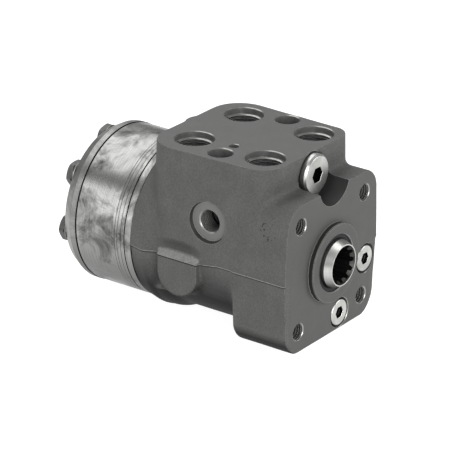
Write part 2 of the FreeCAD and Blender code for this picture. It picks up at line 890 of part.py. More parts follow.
def dust_seal():
    front = -pilot_height + dust_recess
    case = dust_bore_r - running
    pocket = nose_r + dust_pocket_gap
    return turned([(front + dust_lip_rise, nose_r + lip_gap), (front, nose_r + dust_lip_flare),
                   (front, case), (dust_depth, case), (dust_depth, pocket),
                   (front + dust_pocket_y, pocket), (front + dust_lip_back, nose_r + lip_gap)])


def shaft_seal():
    front = shaft_seal_y + seal_play
    rear = race_y - seal_play
    outer = shaft_seal_r - running
    return turned([(front, nose_r + lip_gap), (front, outer), (rear, outer),
                   (rear, nose_r + shaft_lip_flare),
                   (front + shaft_lip_flare, nose_r + lip_gap)])


def o_ring(y):
    """A ring pressed a little flat between its groove and the next piece, in many flats."""
    middle = y + o_ring_groove_depth / 2
    half_height = o_ring_groove_depth / 2 - seal_play / 2
    reach = 1 / math.cos(math.pi / o_ring_sides)
    corners = []
    for side in range(o_ring_sides):
        angle = 2 * math.pi * (side + 0.5) / o_ring_sides
        corners.append((middle + half_height * reach * math.sin(angle),
                        o_ring_mean_r + o_ring_wire_r * reach * math.cos(angle)))
    return turned(corners)


# Cover screws

def hex_head(y0, flats, height):
    """A screw head on a face at y0, with its outer corners turned away."""
    corner_r = flats / math.sqrt(3)
    edge = corner_r - flats / 2
    outer = corner_r + head_stand
    cap = turned([(y0, 0), (y0, outer), (y0 + height - edge * head_crown, outer),
                  (y0 + height, flats / 2 - head_crown_inset), (y0 + height, 0)])
    return hexagon(flats, y0, y0 + height).common(cap)


def cover_screw(index, nose_end):
    under = cover_end + washer_thickness
    core = screw_core_r - running
    shank = bar(screw_r, plate_y, under)
    thread = bar(core, plate_y - screw_depth, plate_y)
    screw = hex_head(under, screw_flats, screw_head).fuse([shank, thread])
    if nose_end:
        screw = screw.fuse(bar(valve_pin_r, nose_end, plate_y - screw_depth))
    screw.rotate(V(0, 0, 0), ALONG, head_turn - (screw_start + index * lobe_step))
    screw.translate(screw_point(index))
    return screw.removeSplitter()


def cover_screws():
    plain = [i for i in range(lobe_count) if i != special_index]
    return Part.makeCompound([cover_screw(i, None) for i in plain])


def special_screw():
    return cover_screw(special_index, valve_stop_y())


def screw_washers():
    washers = [tube(screw_r + screw_play, washer_r, cover_end, cover_end + washer_thickness,
                    screw_point(i).x, screw_point(i).z) for i in range(lobe_count)]
    return Part.makeCompound(washers)


# Ball valves behind the cover screws

def valve_ball_y():
    return valve_bore_end + math.sqrt(valve_ball_r ** 2 - valve_seat_r ** 2) + seat_gap


def valve_stop_y():
    return valve_ball_y() + valve_ball_r + valve_travel + seat_gap


def valve_ball(index):
    return Part.makeSphere(valve_ball_r, screw_point(index, valve_ball_y()))


def suction_pins():
    pins = []
    for index in suction_indices:
        p = screw_point(index)
        pins.append(bar(valve_pin_r, valve_stop_y(), plate_y - screw_depth - seat_gap, p.x, p.z))
    return Part.makeCompound(pins)


# Relief valve

def relief_plug():
    seat = block_front + relief_spot_depth
    under = relief_face + relief_head
    plug = turned([(relief_face, 0), (relief_face, relief_head_r - relief_head_edge),
                   (relief_face + relief_head_edge, relief_head_r), (under, relief_head_r),
                   (under, relief_thread_r - thread_play),
                   (relief_thread_end - seat_gap, relief_thread_r - thread_play),
                   (relief_thread_end - seat_gap, relief_bore_r),
                   (seat + relief_socket_depth, relief_bore_r), (seat + relief_socket_depth, 0)])
    plug = plug.cut(hexagon(relief_socket, relief_face - 1, relief_face + relief_socket_depth))
    plug.translate(V(0, 0, relief_z))
    return plug


def relief_plug_seal():
    seat = block_front + relief_spot_depth
    return tube(relief_thread_r + seal_play, relief_seal_r, relief_face + relief_head, seat,
                0, relief_z)


def relief_adjuster():
    end = relief_adjuster_y + relief_adjuster_length
    screw = bar(relief_bore_r - thread_play, relief_adjuster_y, end, 0, relief_z)
    return screw.cut(hexagon(relief_socket / 2, relief_adjuster_y - 1,
                             relief_adjuster_y + relief_adjuster_length / 2, 0, relief_z))


def relief_spring():
    start = relief_adjuster_y + relief_adjuster_length + coil_end_gap
    return coil(relief_coil_r, relief_wire_r, start, relief_poppet_y - coil_end_gap, 0, relief_z)


def relief_poppet():
    guide = relief_bore_r - seal_play
    guide_end = relief_poppet_y + relief_guide_length
    neck = guide_end + relief_guide_step
    tip = relief_bore_end + relief_tip
    poppet = turned([(relief_poppet_y, 0), (relief_poppet_y, guide), (guide_end, guide),
                     (neck, guide - relief_guide_step), (relief_bore_end, relief_seat_r - seat_gap),
                     (tip, relief_seat_r - relief_tip), (tip, 0)])
    poppet.translate(V(0, 0, relief_z))
    return poppet


# Shock valves

def shock_plug(index):
    p = shock_point(index)
    under = shock_sink_depth - shock_seal_thickness
    plug = bar(shock_head_r, 0, under, p.x, p.z)
    plug = plug.makeChamfer(shock_head_edge, [e for e in plug.Edges if e.BoundBox.YMax < 1e-6])
    plug = plug.fuse(bar(shock_thread_r - thread_play, under, shock_thread_end - seat_gap,
                         p.x, p.z))
    return plug.cut(hexagon(shock_socket, -1, shock_socket_depth, p.x, p.z))


def shock_seal(index):
    p = shock_point(index)
    return tube(shock_thread_r + seal_play, shock_seal_r, shock_sink_depth - shock_seal_thickness,
                shock_sink_depth, p.x, p.z)


def shock_adjuster(index):
    p = shock_point(index)
    screw = bar(shock_bore_r - thread_play, shock_adjuster_y,
                shock_adjuster_y + shock_adjuster_length, p.x, p.z)
    return screw.cut(hexagon(shock_socket / 2, shock_adjuster_y - 1,
                             shock_adjuster_y + shock_adjuster_length / 2, p.x, p.z))


def shock_ball_y():
    return shock_bore_end - math.sqrt(shock_ball_r ** 2 - shock_seat_r ** 2) - seat_gap


def shock_ball(index):
    return Part.makeSphere(shock_ball_r, shock_point(index, shock_ball_y()))


def shock_spring(index):
    p = shock_point(index)
    start = shock_adjuster_y + shock_adjuster_length + coil_end_gap
    touch_r = shock_coil_r - shock_wire_r
    end = shock_ball_y() - math.sqrt(shock_ball_r ** 2 - touch_r ** 2) - coil_end_gap
    return coil(shock_coil_r, shock_wire_r, start, end, p.x, p.z)


def pair(make):
    return Part.makeCompound([make(0), make(1)])


nodes = {
    "housing": housing(),
    "distributor_plate": distributor_plate(),
    "gear_ring": gear_ring(),
    "end_cover": end_cover(),
    "cover_screws": cover_screws(),
    "special_screw": special_screw(),
    "screw_washers": screw_washers(),
    "housing_o_ring": o_ring(housing_length - o_ring_groove_depth),
    "ring_o_ring": o_ring(ring_y),
    "cover_o_ring": o_ring(cover_y),
    "rotor": rotor(),
    "rotor_spacer": rotor_spacer(),
    "cardan_shaft": cardan_shaft(),
    "spool": spool(),
    "sleeve": sleeve(),
    "spring_ring": spring_ring(),
    "centring_springs": centring_springs(),
    "cross_pin": cross_pin(),
    "outer_race": race(race_y),
    "inner_race": race(inner_race_y),
    "needle_cage": needle_cage(),
    "needles": needles(),
    "dust_seal": dust_seal(),
    "shaft_seal": shaft_seal(),
    "relief_plug": relief_plug(),
    "relief_plug_seal": relief_plug_seal(),
    "relief_adjuster": relief_adjuster(),
    "relief_spring": relief_spring(),
    "relief_poppet": relief_poppet(),
    "shock_plugs": pair(shock_plug),
    "shock_plug_seals": pair(shock_seal),
    "shock_adjusters": pair(shock_adjuster),
    "shock_spring_side": shock_spring(0),
    "shock_spring_bottom": shock_spring(1),
    "shock_ball_side": shock_ball(0),
    "shock_ball_bottom": shock_ball(1),
    "check_ball": valve_ball(special_index),
    "suction_ball_bottom": valve_ball(suction_indices[0]),
    "suction_ball_side": valve_ball(suction_indices[1]),
    "suction_pins": suction_pins(),
}

os.makedirs("parts", exist_ok=True)
for name, shape in nodes.items():
    shape.exportStep(f"parts/{name}.step")
    print(name, "solids", len(shape.Solids), "valid", shape.isValid(), "volume",
          round(shape.Volume, 1))
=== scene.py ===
import json
import math
from itertools import product

import bmesh
import bpy
import numpy as np
from mathutils import Matrix, Vector

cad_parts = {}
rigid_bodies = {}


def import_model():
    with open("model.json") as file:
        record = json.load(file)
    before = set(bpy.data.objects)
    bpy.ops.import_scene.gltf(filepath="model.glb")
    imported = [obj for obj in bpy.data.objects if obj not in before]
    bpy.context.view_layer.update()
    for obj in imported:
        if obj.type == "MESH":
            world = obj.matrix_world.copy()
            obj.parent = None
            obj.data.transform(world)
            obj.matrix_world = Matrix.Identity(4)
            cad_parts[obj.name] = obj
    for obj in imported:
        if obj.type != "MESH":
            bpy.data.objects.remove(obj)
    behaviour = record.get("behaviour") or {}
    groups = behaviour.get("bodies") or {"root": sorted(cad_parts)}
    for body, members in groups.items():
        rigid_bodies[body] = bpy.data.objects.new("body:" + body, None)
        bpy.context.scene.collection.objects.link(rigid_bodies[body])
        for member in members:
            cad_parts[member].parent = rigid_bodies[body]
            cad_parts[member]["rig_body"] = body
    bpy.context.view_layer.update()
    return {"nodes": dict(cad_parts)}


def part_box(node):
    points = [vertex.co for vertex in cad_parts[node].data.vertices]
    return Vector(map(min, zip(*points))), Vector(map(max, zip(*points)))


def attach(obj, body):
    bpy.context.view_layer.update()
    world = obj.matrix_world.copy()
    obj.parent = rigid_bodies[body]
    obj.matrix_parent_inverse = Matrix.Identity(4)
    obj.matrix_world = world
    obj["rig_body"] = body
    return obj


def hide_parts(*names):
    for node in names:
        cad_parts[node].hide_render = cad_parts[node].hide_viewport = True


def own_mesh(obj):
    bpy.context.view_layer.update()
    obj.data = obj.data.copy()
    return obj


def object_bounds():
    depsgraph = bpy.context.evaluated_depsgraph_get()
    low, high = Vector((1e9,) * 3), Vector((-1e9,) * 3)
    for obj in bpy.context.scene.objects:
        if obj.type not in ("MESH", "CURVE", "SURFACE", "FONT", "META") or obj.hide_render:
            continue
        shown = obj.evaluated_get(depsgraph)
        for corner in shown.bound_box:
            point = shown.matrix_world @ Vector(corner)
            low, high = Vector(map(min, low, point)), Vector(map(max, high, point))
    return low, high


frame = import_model()
nodes = frame["nodes"]
scene = bpy.context.scene
MM = 0.001


# Studio. A backlit white floor, wide soft lights over the unit, in front of it and at its rear
# left, and a long lens from the left, a little above. The tones go straight to the screen.

def node(tree, kind, inputs=None, **settings):
    """Adds one node with its settings, fixed values and links."""
    made = tree.nodes.new(kind)
    for key, value in settings.items():
        setattr(made, key, value)
    for socket, value in (inputs or {}).items():
        if isinstance(value, bpy.types.NodeSocket):
            tree.links.new(value, made.inputs[socket])
        else:
            made.inputs[socket].default_value = value
    return made


def linear(code):
    """An sRGB colour such as 8a8a88 as the linear values that a shader takes."""
    parts = [int(code[i:i + 2], 16) / 255 for i in (0, 2, 4)]
    return [p / 12.92 if p <= 0.04045 else ((p + 0.055) / 1.055) ** 2.4 for p in parts] + [1.0]


def start_finish(name, **values):
    """A new finish: the material, its tree, its shader and the object's coordinates in mm."""
    finish = bpy.data.materials.new(name)
    finish.use_nodes = True
    tree = finish.node_tree
    shader = tree.nodes["Principled BSDF"]
    for socket, value in values.items():
        shader.inputs[socket.replace("_", " ")].default_value = value
    place = node(tree, "ShaderNodeTexCoord").outputs["Object"]
    spot = node(tree, "ShaderNodeVectorMath", {"Vector": place, "Scale": 1 / MM}, operation="SCALE")
    return finish, tree, shader, spot.outputs["Vector"]


def new_piece(name, vertices, faces):
    """A plain mesh object from its faces and its vertices in mm."""
    mesh = bpy.data.meshes.new(name)
    mesh.from_pydata([Vector(v) * MM for v in vertices], [], faces)
    piece = bpy.data.objects.new(name, mesh)
    scene.collection.objects.link(piece)
    return piece


def settle(piece):
    """Turns what a piece's modifiers make of it into its plain mesh."""
    graph = bpy.context.evaluated_depsgraph_get()
    mesh = bpy.data.meshes.new_from_object(piece.evaluated_get(graph), depsgraph=graph)
    piece.modifiers.clear()
    piece.data = mesh


floor_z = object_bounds()[0].z / MM
floor_half = 6000
floor = new_piece("floor", [(sx * floor_half, sy * floor_half, floor_z)
                            for sx, sy in ((-1, -1), (1, -1), (1, 1), (-1, 1))], [(0, 1, 2, 3)])
# Backlit white card: even, without gloss, and so bright that no shadow shows on it.
pale_card = start_finish("pale_card", Roughness=0.9, Base_Color=linear("8a8a89"),
                         Emission_Color=linear("ffffff"), Emission_Strength=0.95)[0]
floor.data.materials.append(pale_card)

world = bpy.data.worlds.new("soft room")
world.use_nodes = True
world.node_tree.nodes["Background"].inputs["Color"].default_value = linear("ffffff")
world.node_tree.nodes["Background"].inputs["Strength"].default_value = 0.34
scene.world = world
scene.view_settings.view_transform = "Standard"

unit_middle = Vector((0, 50, 5)) * MM
for name, place, size, power in (("overhead", (150, 420, 900), 1350, 12.5),
                                 ("front_fill", (-740, -980, 480), 760, 14.0),
                                 ("front_right", (820, -980, 430), 700, 7.0),
                                 ("rear_left", (-1010, 640, 330), 700, 3.6)):
    light = bpy.data.lights.new(name, "AREA")
    light.size = size * MM
    light.energy = power
    lamp = bpy.data.objects.new(name, light)
    lamp.location = Vector(place) * MM
    lamp.rotation_euler = (lamp.location - unit_middle).to_track_quat("Z", "Y").to_euler()
    scene.collection.objects.link(lamp)

view_side, view_height, view_roll = (math.radians(a) for a in (-54.83, 23.02, 1.08))
view_distance, view_shift, view_lift = 1504.49, -54.34, 18.39
back = Vector((math.sin(view_side) * math.cos(view_height),
               -math.cos(view_side) * math.cos(view_height), math.sin(view_height)))
level = Vector((0, 0, 1)).cross(back).normalized()
over = back.cross(level)
across = level * math.cos(view_roll) + over * math.sin(view_roll)
upward = over * math.cos(view_roll) - level * math.sin(view_roll)
lens = bpy.data.cameras.new("camera")
lens.sensor_width = 36
lens.lens = 232.84
lens.clip_start = 0.01
camera = bpy.data.objects.new("camera", lens)
camera.matrix_world = Matrix.Translation(
    (back * view_distance + across * view_shift + upward * view_lift) * MM
) @ Matrix((across, upward, back)).transposed().to_4x4()
scene.collection.objects.link(camera)
scene.camera = camera


# Housing, as cast. One sand casting in grey iron: column flange, port block, barrel, rear collar,
# belly band and two side lugs, grown into each other with real fillets on a fine grid, the lower
# half a little narrower than the upper where the two half moulds met.
housing_end, block_top, block_front, block_rear, milling_stock = 96.9, 57.5, 13.8, 91.0, 0.3
flange_waist, flange_half, flange_corner_r, flange_depth = 42.87, 41.17, 12.0, 34.0
barrel_r, barrel_start, barrel_end = 41.7, 17.0, 90.0
collar_crown_r, collar_start, collar_crown_y, ring_r = 45.9, 81.0, 87.5, 43.5
belly_r, belly_top_z = 44.8, -22.5
lug_middle_y, lug_half, lug_foot_z, lug_face = 66.75, 12.75, -9.75, 44.5
seam_drop, seam_drop_start, seam_drop_end = 1.8, 42.0, 52.0
grid_step = 0.8
grid_low = (-48.4, -5.2, -50.0)
grid_high = (48.4, 99.6, 60.4)
x, y, z = np.meshgrid(*[np.arange(a, b, grid_step, dtype=np.float32)
                        for a, b in zip(grid_low, grid_high)], indexing="ij")
side_x, side_z, round_r = np.abs(x), np.abs(z), np.hypot(x, z)
draft = math.radians(3.3)


def meet(a, b, edge):
    """What lies inside both forms, their shared edge rounded."""
    a, b = a + edge, b + edge
    return np.minimum(np.maximum(a, b), 0) + np.hypot(np.maximum(a, 0), np.maximum(b, 0)) - edge


def with_fillets(form, reach):
    """Fills the inner corners, as a pattern maker's wax fillets do. The outer edges stay crisp."""
    soft = form
    steps = np.arange(-int(3 * reach / grid_step), int(3 * reach / grid_step) + 1)
    weights = np.exp(-0.5 * (steps * grid_step / reach) ** 2)
    for axis in range(3):
        count = soft.shape[axis]
        soft = sum(w * np.take(soft, np.clip(np.arange(count) + s, 0, count - 1), axis)
                   for s, w in zip(steps, weights / weights.sum()))
    return np.minimum(form, soft)


def beyond(u, v, start, end):
    """Distance from a sloping line in the plane of u and v, counted up on its left side."""
    du, dv = end[0] - start[0], end[1] - start[1]
    return (du * (v - start[1]) - dv * (u - start[0])) / math.hypot(du, dv)


def leaning_wall(side, front, rear):
    """A side wall of the port block, hung from its top line, leaning out by the draft."""
    down = Vector((side * math.sin(draft), 0, -math.cos(draft)))
    outward = down.cross(Vector((side * (rear - front), block_rear - block_front, 0))).normalized() * side
    return (outward.x * (x - side * front) + outward.y * (y - block_front)
            + outward.z * (z - block_top))


flange_side = (side_x - flange_waist + side_z * math.tan(draft)) * math.cos(draft)
flange = meet(meet(flange_side, side_z - flange_half, flange_corner_r), y - flange_depth, 2.2)
flange = meet(flange, -0.35 - y, 1.2)
leaning, upright = leaning_wall(-1, 38.6, 41.4), -42.3 - x
left_wall = np.maximum(leaning, upright) + np.maximum(1.2 - np.abs(leaning - upright), 0) ** 2 / 4.8
right_wall = leaning_wall(1, 36.8, 39.0)
nose, tail = block_front - y, y - block_rear
block = np.maximum.reduce([meet(left_wall, nose, 12.0), meet(left_wall, tail, 18.0),
                           meet(right_wall, nose, 9.0), meet(right_wall, tail, 18.0)])
rib = np.hypot(x, y - 83.4) - 9.0
block = meet(np.minimum(block, rib), z - (block_top + milling_stock), 0.5)
block = np.maximum(block, -z)
barrel = np.maximum(round_r - barrel_r, np.maximum(barrel_start - y, y - barrel_end))
crown = (collar_crown_y, collar_crown_r)
collar = meet(beyond(y, round_r, (collar_start, barrel_r), crown),
              beyond(y, round_r, crown, (housing_end, ring_r)), 2.0)
belly = meet(beyond(y, round_r, (74.0, 40.7), (79.0, belly_r)), round_r - belly_r, 3.0)
belly = meet(np.maximum(belly, y - collar_crown_y), z - belly_top_z, 3.0)
lug_y = np.abs(y - lug_middle_y)
lug_plan = np.where(z < lug_foot_z, np.hypot(lug_y, z - lug_foot_z) - lug_half,
                    meet(lug_y - lug_half, z - 2.0, 2.0))
lug = meet((lug_plan - (lug_face - side_x) * 0.17) * 0.985, side_x - lug_face, 0.8)
lug = meet(lug, beyond(side_x, z, (41.2, 1.8), (44.6, -1.9)), 0.4)
lug = np.maximum(lug, 25.0 - side_x)

casting = with_fillets(np.minimum.reduce([barrel, collar, belly, block, flange]), 2.0)
hollow = 4.0 * (np.sqrt((lug_y / 17.0) ** 2 + ((z - 3.6) / 5.0) ** 2
                        + ((side_x - 44.8) / 4.6) ** 2) - 1)
run_out = np.clip(1.5 - np.abs(casting + hollow), 0, None)
casting = np.maximum(casting, -hollow) + run_out ** 2 / 6.0
casting = with_fillets(np.minimum(casting, lug), 0.7)
casting = np.minimum(casting, np.maximum(round_r - 23.5, np.maximum(y - 5.0, -4.0 - y)))
casting = np.maximum(casting, y - 98.0)
flank = np.clip((side_x - 32.0) / 6.0, 0, 1)
seam = z + seam_drop * np.clip((y - seam_drop_start) / (seam_drop_end - seam_drop_start), 0, 1)
casting += flank * (0.45 * (seam < 0) - 0.16 * np.exp(-(seam - 0.4) ** 2 / 0.3))
casting += 0.05 * np.sin(x / 5.3 + y / 9.1) * np.sin(y / 6.7 - z / 8.3) * np.sin(z / 5.9 + x / 7.9)


def cast_skin(field):
    """A net of four-sided faces through the places where the distance field is zero."""
    inside = field < 0
    spans = [slice(0, -1), slice(1, None)]
    count = sum(inside[spans[i], spans[j], spans[k]].astype(np.int8)
                for i, j, k in product((0, 1), repeat=3))
    crossed = (count > 0) & (count < 8)
    cells = np.argwhere(crossed)
    number = np.full(crossed.shape, -1, np.int64)
    number[crossed] = np.arange(len(cells))
    total, hits = np.zeros((len(cells), 3)), np.zeros(len(cells))
    for axis in range(3):
        ahead = np.eye(3, dtype=int)[axis]
        others = [np.eye(3, dtype=int)[o] for o in range(3) if o != axis]
        for i, j in product((0, 1), repeat=2):
            offset = i * others[0] + j * others[1]
            f0 = field[tuple((cells + offset).T)]
            f1 = field[tuple((cells + offset + ahead).T)]
            change = (f0 < 0) != (f1 < 0)
            share = f0[change] / (f0[change] - f1[change])
            total[change] += offset + share[:, None] * ahead
            hits[change] += 1
    points = (cells + total / hits[:, None]) * grid_step + grid_low
    faces = []
    for axis in range(3):
        u, v = [np.eye(3, dtype=int)[(axis + o) % 3] for o in (1, 2)]
        before = inside.take(range(inside.shape[axis] - 1), axis)
        after = inside.take(range(1, inside.shape[axis]), axis)
        for entering in (0, 1):
            edge = (~before & after) if entering else (before & ~after)
            spots = np.argwhere(edge)
            ring = [number[tuple((spots - o).T)] for o in (0 * u, u, u + v, v)]
            faces.append(np.stack(ring[::-1] if entering else ring, 1))
    return points, np.concatenate(faces)


def field_at(field, points):
    """The distance field read between its grid points."""
    place = (np.asarray(points) - grid_low) / grid_step
    cell = np.clip(np.floor(place).astype(int), 0, np.array(field.shape) - 2)
    share = place - cell
    value = np.zeros(len(cell))
    for corner in product((0, 1), repeat=3):
        weight = np.prod(np.where(corner, share, 1 - share), 1)
        value += weight * field[tuple((cell + corner).T)]
    return value


skin_points, skin_faces = cast_skin(casting)
housing = new_piece("housing_casting", skin_points, skin_faces.tolist())


# Housing, machined. Milled and turned faces, the spool bore with its seal seats, four ports with
# their sinks, tapped holes, valve bores and drilled passages, each cut from the casting as a tool
# would cut it. Threads are cut by a tap whose edge follows a helix.
tools = bpy.data.collections.new("tools")
INTO, DOWN, RIGHT, OUT = Vector((0, 1, 0)), Vector((0, 0, -1)), Vector((1, 0, 0)), Vector((0, -1, 0))


def lathe(name, profile, spot=(0, 0, 0), along=INTO, sides=64):
    """A turned solid. The profile gives (distance along, radius); a tool's ends lie on the axis."""
    turn = Vector((0, 0, 1)).rotation_difference(along.normalized())
    form = bmesh.new()
    rings = []
    for distance, radius in profile:
        angles = [0] if radius == 0 else [2 * math.pi * s / sides for s in range(sides)]
        rings.append([form.verts.new((Vector(spot) + turn @ Vector(
            (radius * math.cos(a), radius * math.sin(a), distance))) * MM) for a in angles])
    for ring, after in zip(rings, rings[1:]):
        for s in range(sides):
            corners = [ring[s % len(ring)], ring[(s + 1) % len(ring)],
                       after[(s + 1) % len(after)], after[s % len(after)]]
            if len(ring) > 1 or len(after) > 1:
                form.faces.new(list(dict.fromkeys(corners)))
    bmesh.ops.recalc_face_normals(form, faces=form.faces)
    mesh = bpy.data.meshes.new(name)
    form.to_mesh(mesh)
    form.free()
    return bpy.data.objects.new(name, mesh)


def cut(profile, spot=(0, 0, 0), along=INTO, sides=64):
    """Adds one turned tool; all are taken from the casting at the end."""
    tools.objects.link(lathe("tool", profile, spot, along, sides))


def bored(radius, depth, mouth=0.4, tip=0.0):
    """The profile of a hole with a broken edge and, if it is drilled, a pointed floor."""
    return [(-1.5, 0), (-1.5, radius + mouth), (0, radius + mouth), (mouth, radius),
            (depth, radius), (depth + tip * radius, 0)]


def passage(start, end, radius):
    """A drilled oil passage between two points."""
    run = Vector(end) - Vector(start)
    cut([(0, 0), (0, radius), (run.length, radius), (run.length, 0)], start, run, 24)


def start_tree(name, **inputs):
    """A new shape tree with its named inputs and one geometry output."""
    tree = bpy.data.node_groups.new(name, "GeometryNodeTree")
    for socket, kind in inputs.items():
        tree.interface.new_socket(name=socket.replace("_", " "), in_out="INPUT",
                                  socket_type="NodeSocket" + kind)
    tree.interface.new_socket(name="Geometry", in_out="OUTPUT", socket_type="NodeSocketGeometry")
    return tree, node(tree, "NodeGroupInput").outputs


tap_tree, sizes = start_tree("thread_tap", Core_Radius="Float", Pitch="Float", Turns="Float")
# The edge is an equal-sided triangle a little narrower than the pitch, its point turned outward.
tooth_r = node(tap_tree, "ShaderNodeMath", {0: sizes["Pitch"], 1: 0.53},
               operation="MULTIPLY").outputs[0]
rise = node(tap_tree, "ShaderNodeMath", {0: sizes["Pitch"], 1: sizes["Turns"]},
            operation="MULTIPLY").outputs[0]
helix = node(tap_tree, "GeometryNodeCurveSpiral", {
    "Resolution": 36, "Rotations": sizes["Turns"], "Start Radius": sizes["Core Radius"],
    "End Radius": sizes["Core Radius"], "Height": rise})
upright = node(tap_tree, "GeometryNodeSetCurveNormal", {"Curve": helix.outputs["Curve"]}, mode="Z_UP")
tooth = node(tap_tree, "GeometryNodeCurvePrimitiveCircle", {"Resolution": 3, "Radius": tooth_r})
tooth = node(tap_tree, "GeometryNodeTransform", {"Geometry": tooth.outputs["Curve"],
                                                 "Rotation": (0.0, 0.0, math.pi)})
edge = node(tap_tree, "GeometryNodeCurveToMesh", {
    "Curve": upright.outputs["Curve"], "Profile Curve": tooth.outputs["Geometry"], "Fill Caps": True})
still = node(tap_tree, "GeometryNodeRealizeInstances", {"Geometry": edge.outputs["Mesh"]})
node(tap_tree, "NodeGroupOutput", {"Geometry": still.outputs["Geometry"]})


def run_tree(tree, name, sizes, base=None):
    """Runs a node tree and keeps what it makes as a plain mesh."""
    piece = bpy.data.objects.new(name, base or bpy.data.meshes.new(name))
    scene.collection.objects.link(piece)
    modifier = piece.modifiers.new("shape", "NODES")
    modifier.node_group = tree
    for socket in tree.interface.items_tree:
        if socket.name in sizes:
            modifier[socket.identifier] = sizes[socket.name]
    settle(piece)
    return piece


def thread(core_r, pitch, start, end, spot, along):
    """Cuts a thread between two depths of a hole."""
    turns = (end - start) / pitch
    tap = run_tree(tap_tree, "tap", {"Core Radius": core_r * MM, "Pitch": pitch * MM,
                                     "Turns": turns})
    turn = Vector((0, 0, 1)).rotation_difference(along).to_matrix().to_4x4()
    tap.data.transform(Matrix.Translation(Vector(spot) * MM) @ turn @ Matrix.Translation((0, 0, start * MM)))
    scene.collection.objects.unlink(tap)
    tools.objects.link(tap)


# Faces: column face round the boss, port face, rear face and the notch over the relief plug.
far, boss_r, boss_height = 135.0, 21.5, 3.0
notch_x, notch_z, notch_r = 0.7, 45.3, 14.0
cut([(-9, 0), (-9, far), (0, far), (0, boss_r), (0.5 - boss_height, boss_r),
     (-boss_height, boss_r - 0.5), (-boss_height, 0)], sides=128)
cut([(-9, 0), (-9, far), (0, far), (0, 0)], (0, 0, block_top), DOWN)
cut([(-9, 0), (-9, far), (0, far), (0, 0)], (0, housing_end, 0), OUT)
cut([(-5, 0), (-5, notch_r), (block_front, notch_r), (block_front, 0)], (notch_x, 0, notch_z), INTO, 96)

# Spool bore with its ring grooves, behind the seats of the dust seal, shaft seal and bearing.
bore_r, groove_r, groove_half = 20, 22.8, 2.5
grooves = [(y0 + dy, r) for y0 in (42, 54, 66, 78)
           for dy, r in ((-groove_half, bore_r), (-groove_half, groove_r),
                         (groove_half, groove_r), (groove_half, bore_r))]
cut([(-5, 0), (-5, 15.9), (-3, 15.9), (-2.7, 15.6), (2.5, 15.6), (2.5, 13.4), (5.5, 13.4),
     (5.5, 17.5), (9.0, 17.5), (9.0, bore_r)] + grooves + [(99, bore_r), (99, 0)], sides=128)

# Column screw holes on the 82.5 mm circle.
column_core_r, hole_offset = 4.25, 82.5 / 2 * math.cos(math.radians(45))
for sx, sz in product((-1, 1), repeat=2):
    corner = (sx * hole_offset, 0, sz * hole_offset)
    cut(bored(column_core_r, 16.0, 0.65, 0.6), corner)
    thread(column_core_r, 1.5, -0.7, 14.5, corner, INTO)

# Ports, each with a sink, and a passage to its groove; two screw holes and a dowel hole.
port_x, port_ys, port_core_r = 22, (27.8, 72.2), 9.3
for px, py, groove_y in ((-port_x, port_ys[0], 42), (port_x, port_ys[0], 54),
                         (-port_x, port_ys[1], 78), (port_x, port_ys[1], 66)):
    mouth = (px, py, block_top)
    cut([(-1.5, 0), (-1.5, 10.9), (0, 10.9), (0.4, 10.5), (3.5, 10.5), (3.5, 9.9),
         (4.1, port_core_r), (17.0, port_core_r), (17.0, 0)], mouth, DOWN, 96)
    thread(port_core_r, 1.814, 3.6, 14.6, mouth, DOWN)
    passage((px, py, 41.5), (math.copysign(12.0, px), groove_y, 15.0), 4.0)
for sx in (-1, 1):
    cut(bored(6.5, 22.0, 0.5, 0.6), (sx * 30.07, 50, block_top), DOWN)
cut(bored(2.7, 8.0, 0.3, 0.6), (-18.1, 50, block_top), DOWN, 32)

# Sensing port in the left wall, with its spot face.
wall_x, sensing_y, sensing_z, sensing_core_r = -40.0, 49.0, 23.1, 5.9
cut([(-4, 0), (-4, 12.4), (0, 10.5), (0, 6.5), (0.6, sensing_core_r), (12, sensing_core_r),
     (12, 4.5), (17, 4.5), (17, 0)], (wall_x, sensing_y, sensing_z), RIGHT, 96)
thread(sensing_core_r, 1.337, 0.3, 10.5, (wall_x, sensing_y, sensing_z), RIGHT)
passage((-24.0, sensing_y, 22.1), (-12.0, sensing_y, 15.0), 2.0)

# Bores of the relief valve and the two shock valves.
relief_z, shock_circle_r, shock_angles = 45.5, 33.3, [math.radians(a) for a in (-16, -74)]
cut([(1.6, 0), (1.6, 12.2), (14.6, 12.2), (14.6, 8.0), (25, 8.0), (25, 6.0), (47, 6.0), (47, 2.6),
     (56, 2.6), (56, 0)], (0, 0, relief_z))
passage((0, 51.5, relief_z), (0, 54, 20), 2.0)
for a in shock_angles:
    spot = (shock_circle_r * math.cos(a), 0, shock_circle_r * math.sin(a))
    cut([(-1.5, 0), (-1.5, 8.45), (0, 8.45), (0.3, 8.15), (4.2, 8.15), (4.2, 5.2), (14, 5.2),
         (14, 4.6), (36, 4.6), (36, 2.5), (42, 2.5), (42, 0)], spot)
    passage((spot[0], 39.5, spot[2]), (20 * math.cos(a), 39.5, 20 * math.sin(a)), 2.0)

# Seven screw holes in the rear face, three of them with a ball seat, and seven feed holes between.
lobe_step = 2 * math.pi / 7
screw_circle_r, feed_circle_r = 33.5, 26.5
for index in range(7):
    a = math.pi / 2 + index * lobe_step
    spot = (screw_circle_r * math.cos(a), housing_end, screw_circle_r * math.sin(a))
    ball_seat = [(20, 0)]
    if index in (3, 4, 5):
        ball_seat = [(34.9, 3.4), (34.9, 1.8), (42.9, 1.8), (42.9, 0)]
    cut([(-1.5, 0), (-1.5, 3.8), (0, 3.8), (0.4, 3.4), (20, 3.4)] + ball_seat, spot, OUT, 32)
    a += lobe_step / 2
    spot = (feed_circle_r * math.cos(a), housing_end, feed_circle_r * math.sin(a))
    cut(bored(2.4, 17.0, 0.2), spot, OUT, 32)
    passage((spot[0], 82.3, spot[2]), (19 * math.cos(a), 82.3, 19 * math.sin(a)), 1.9)

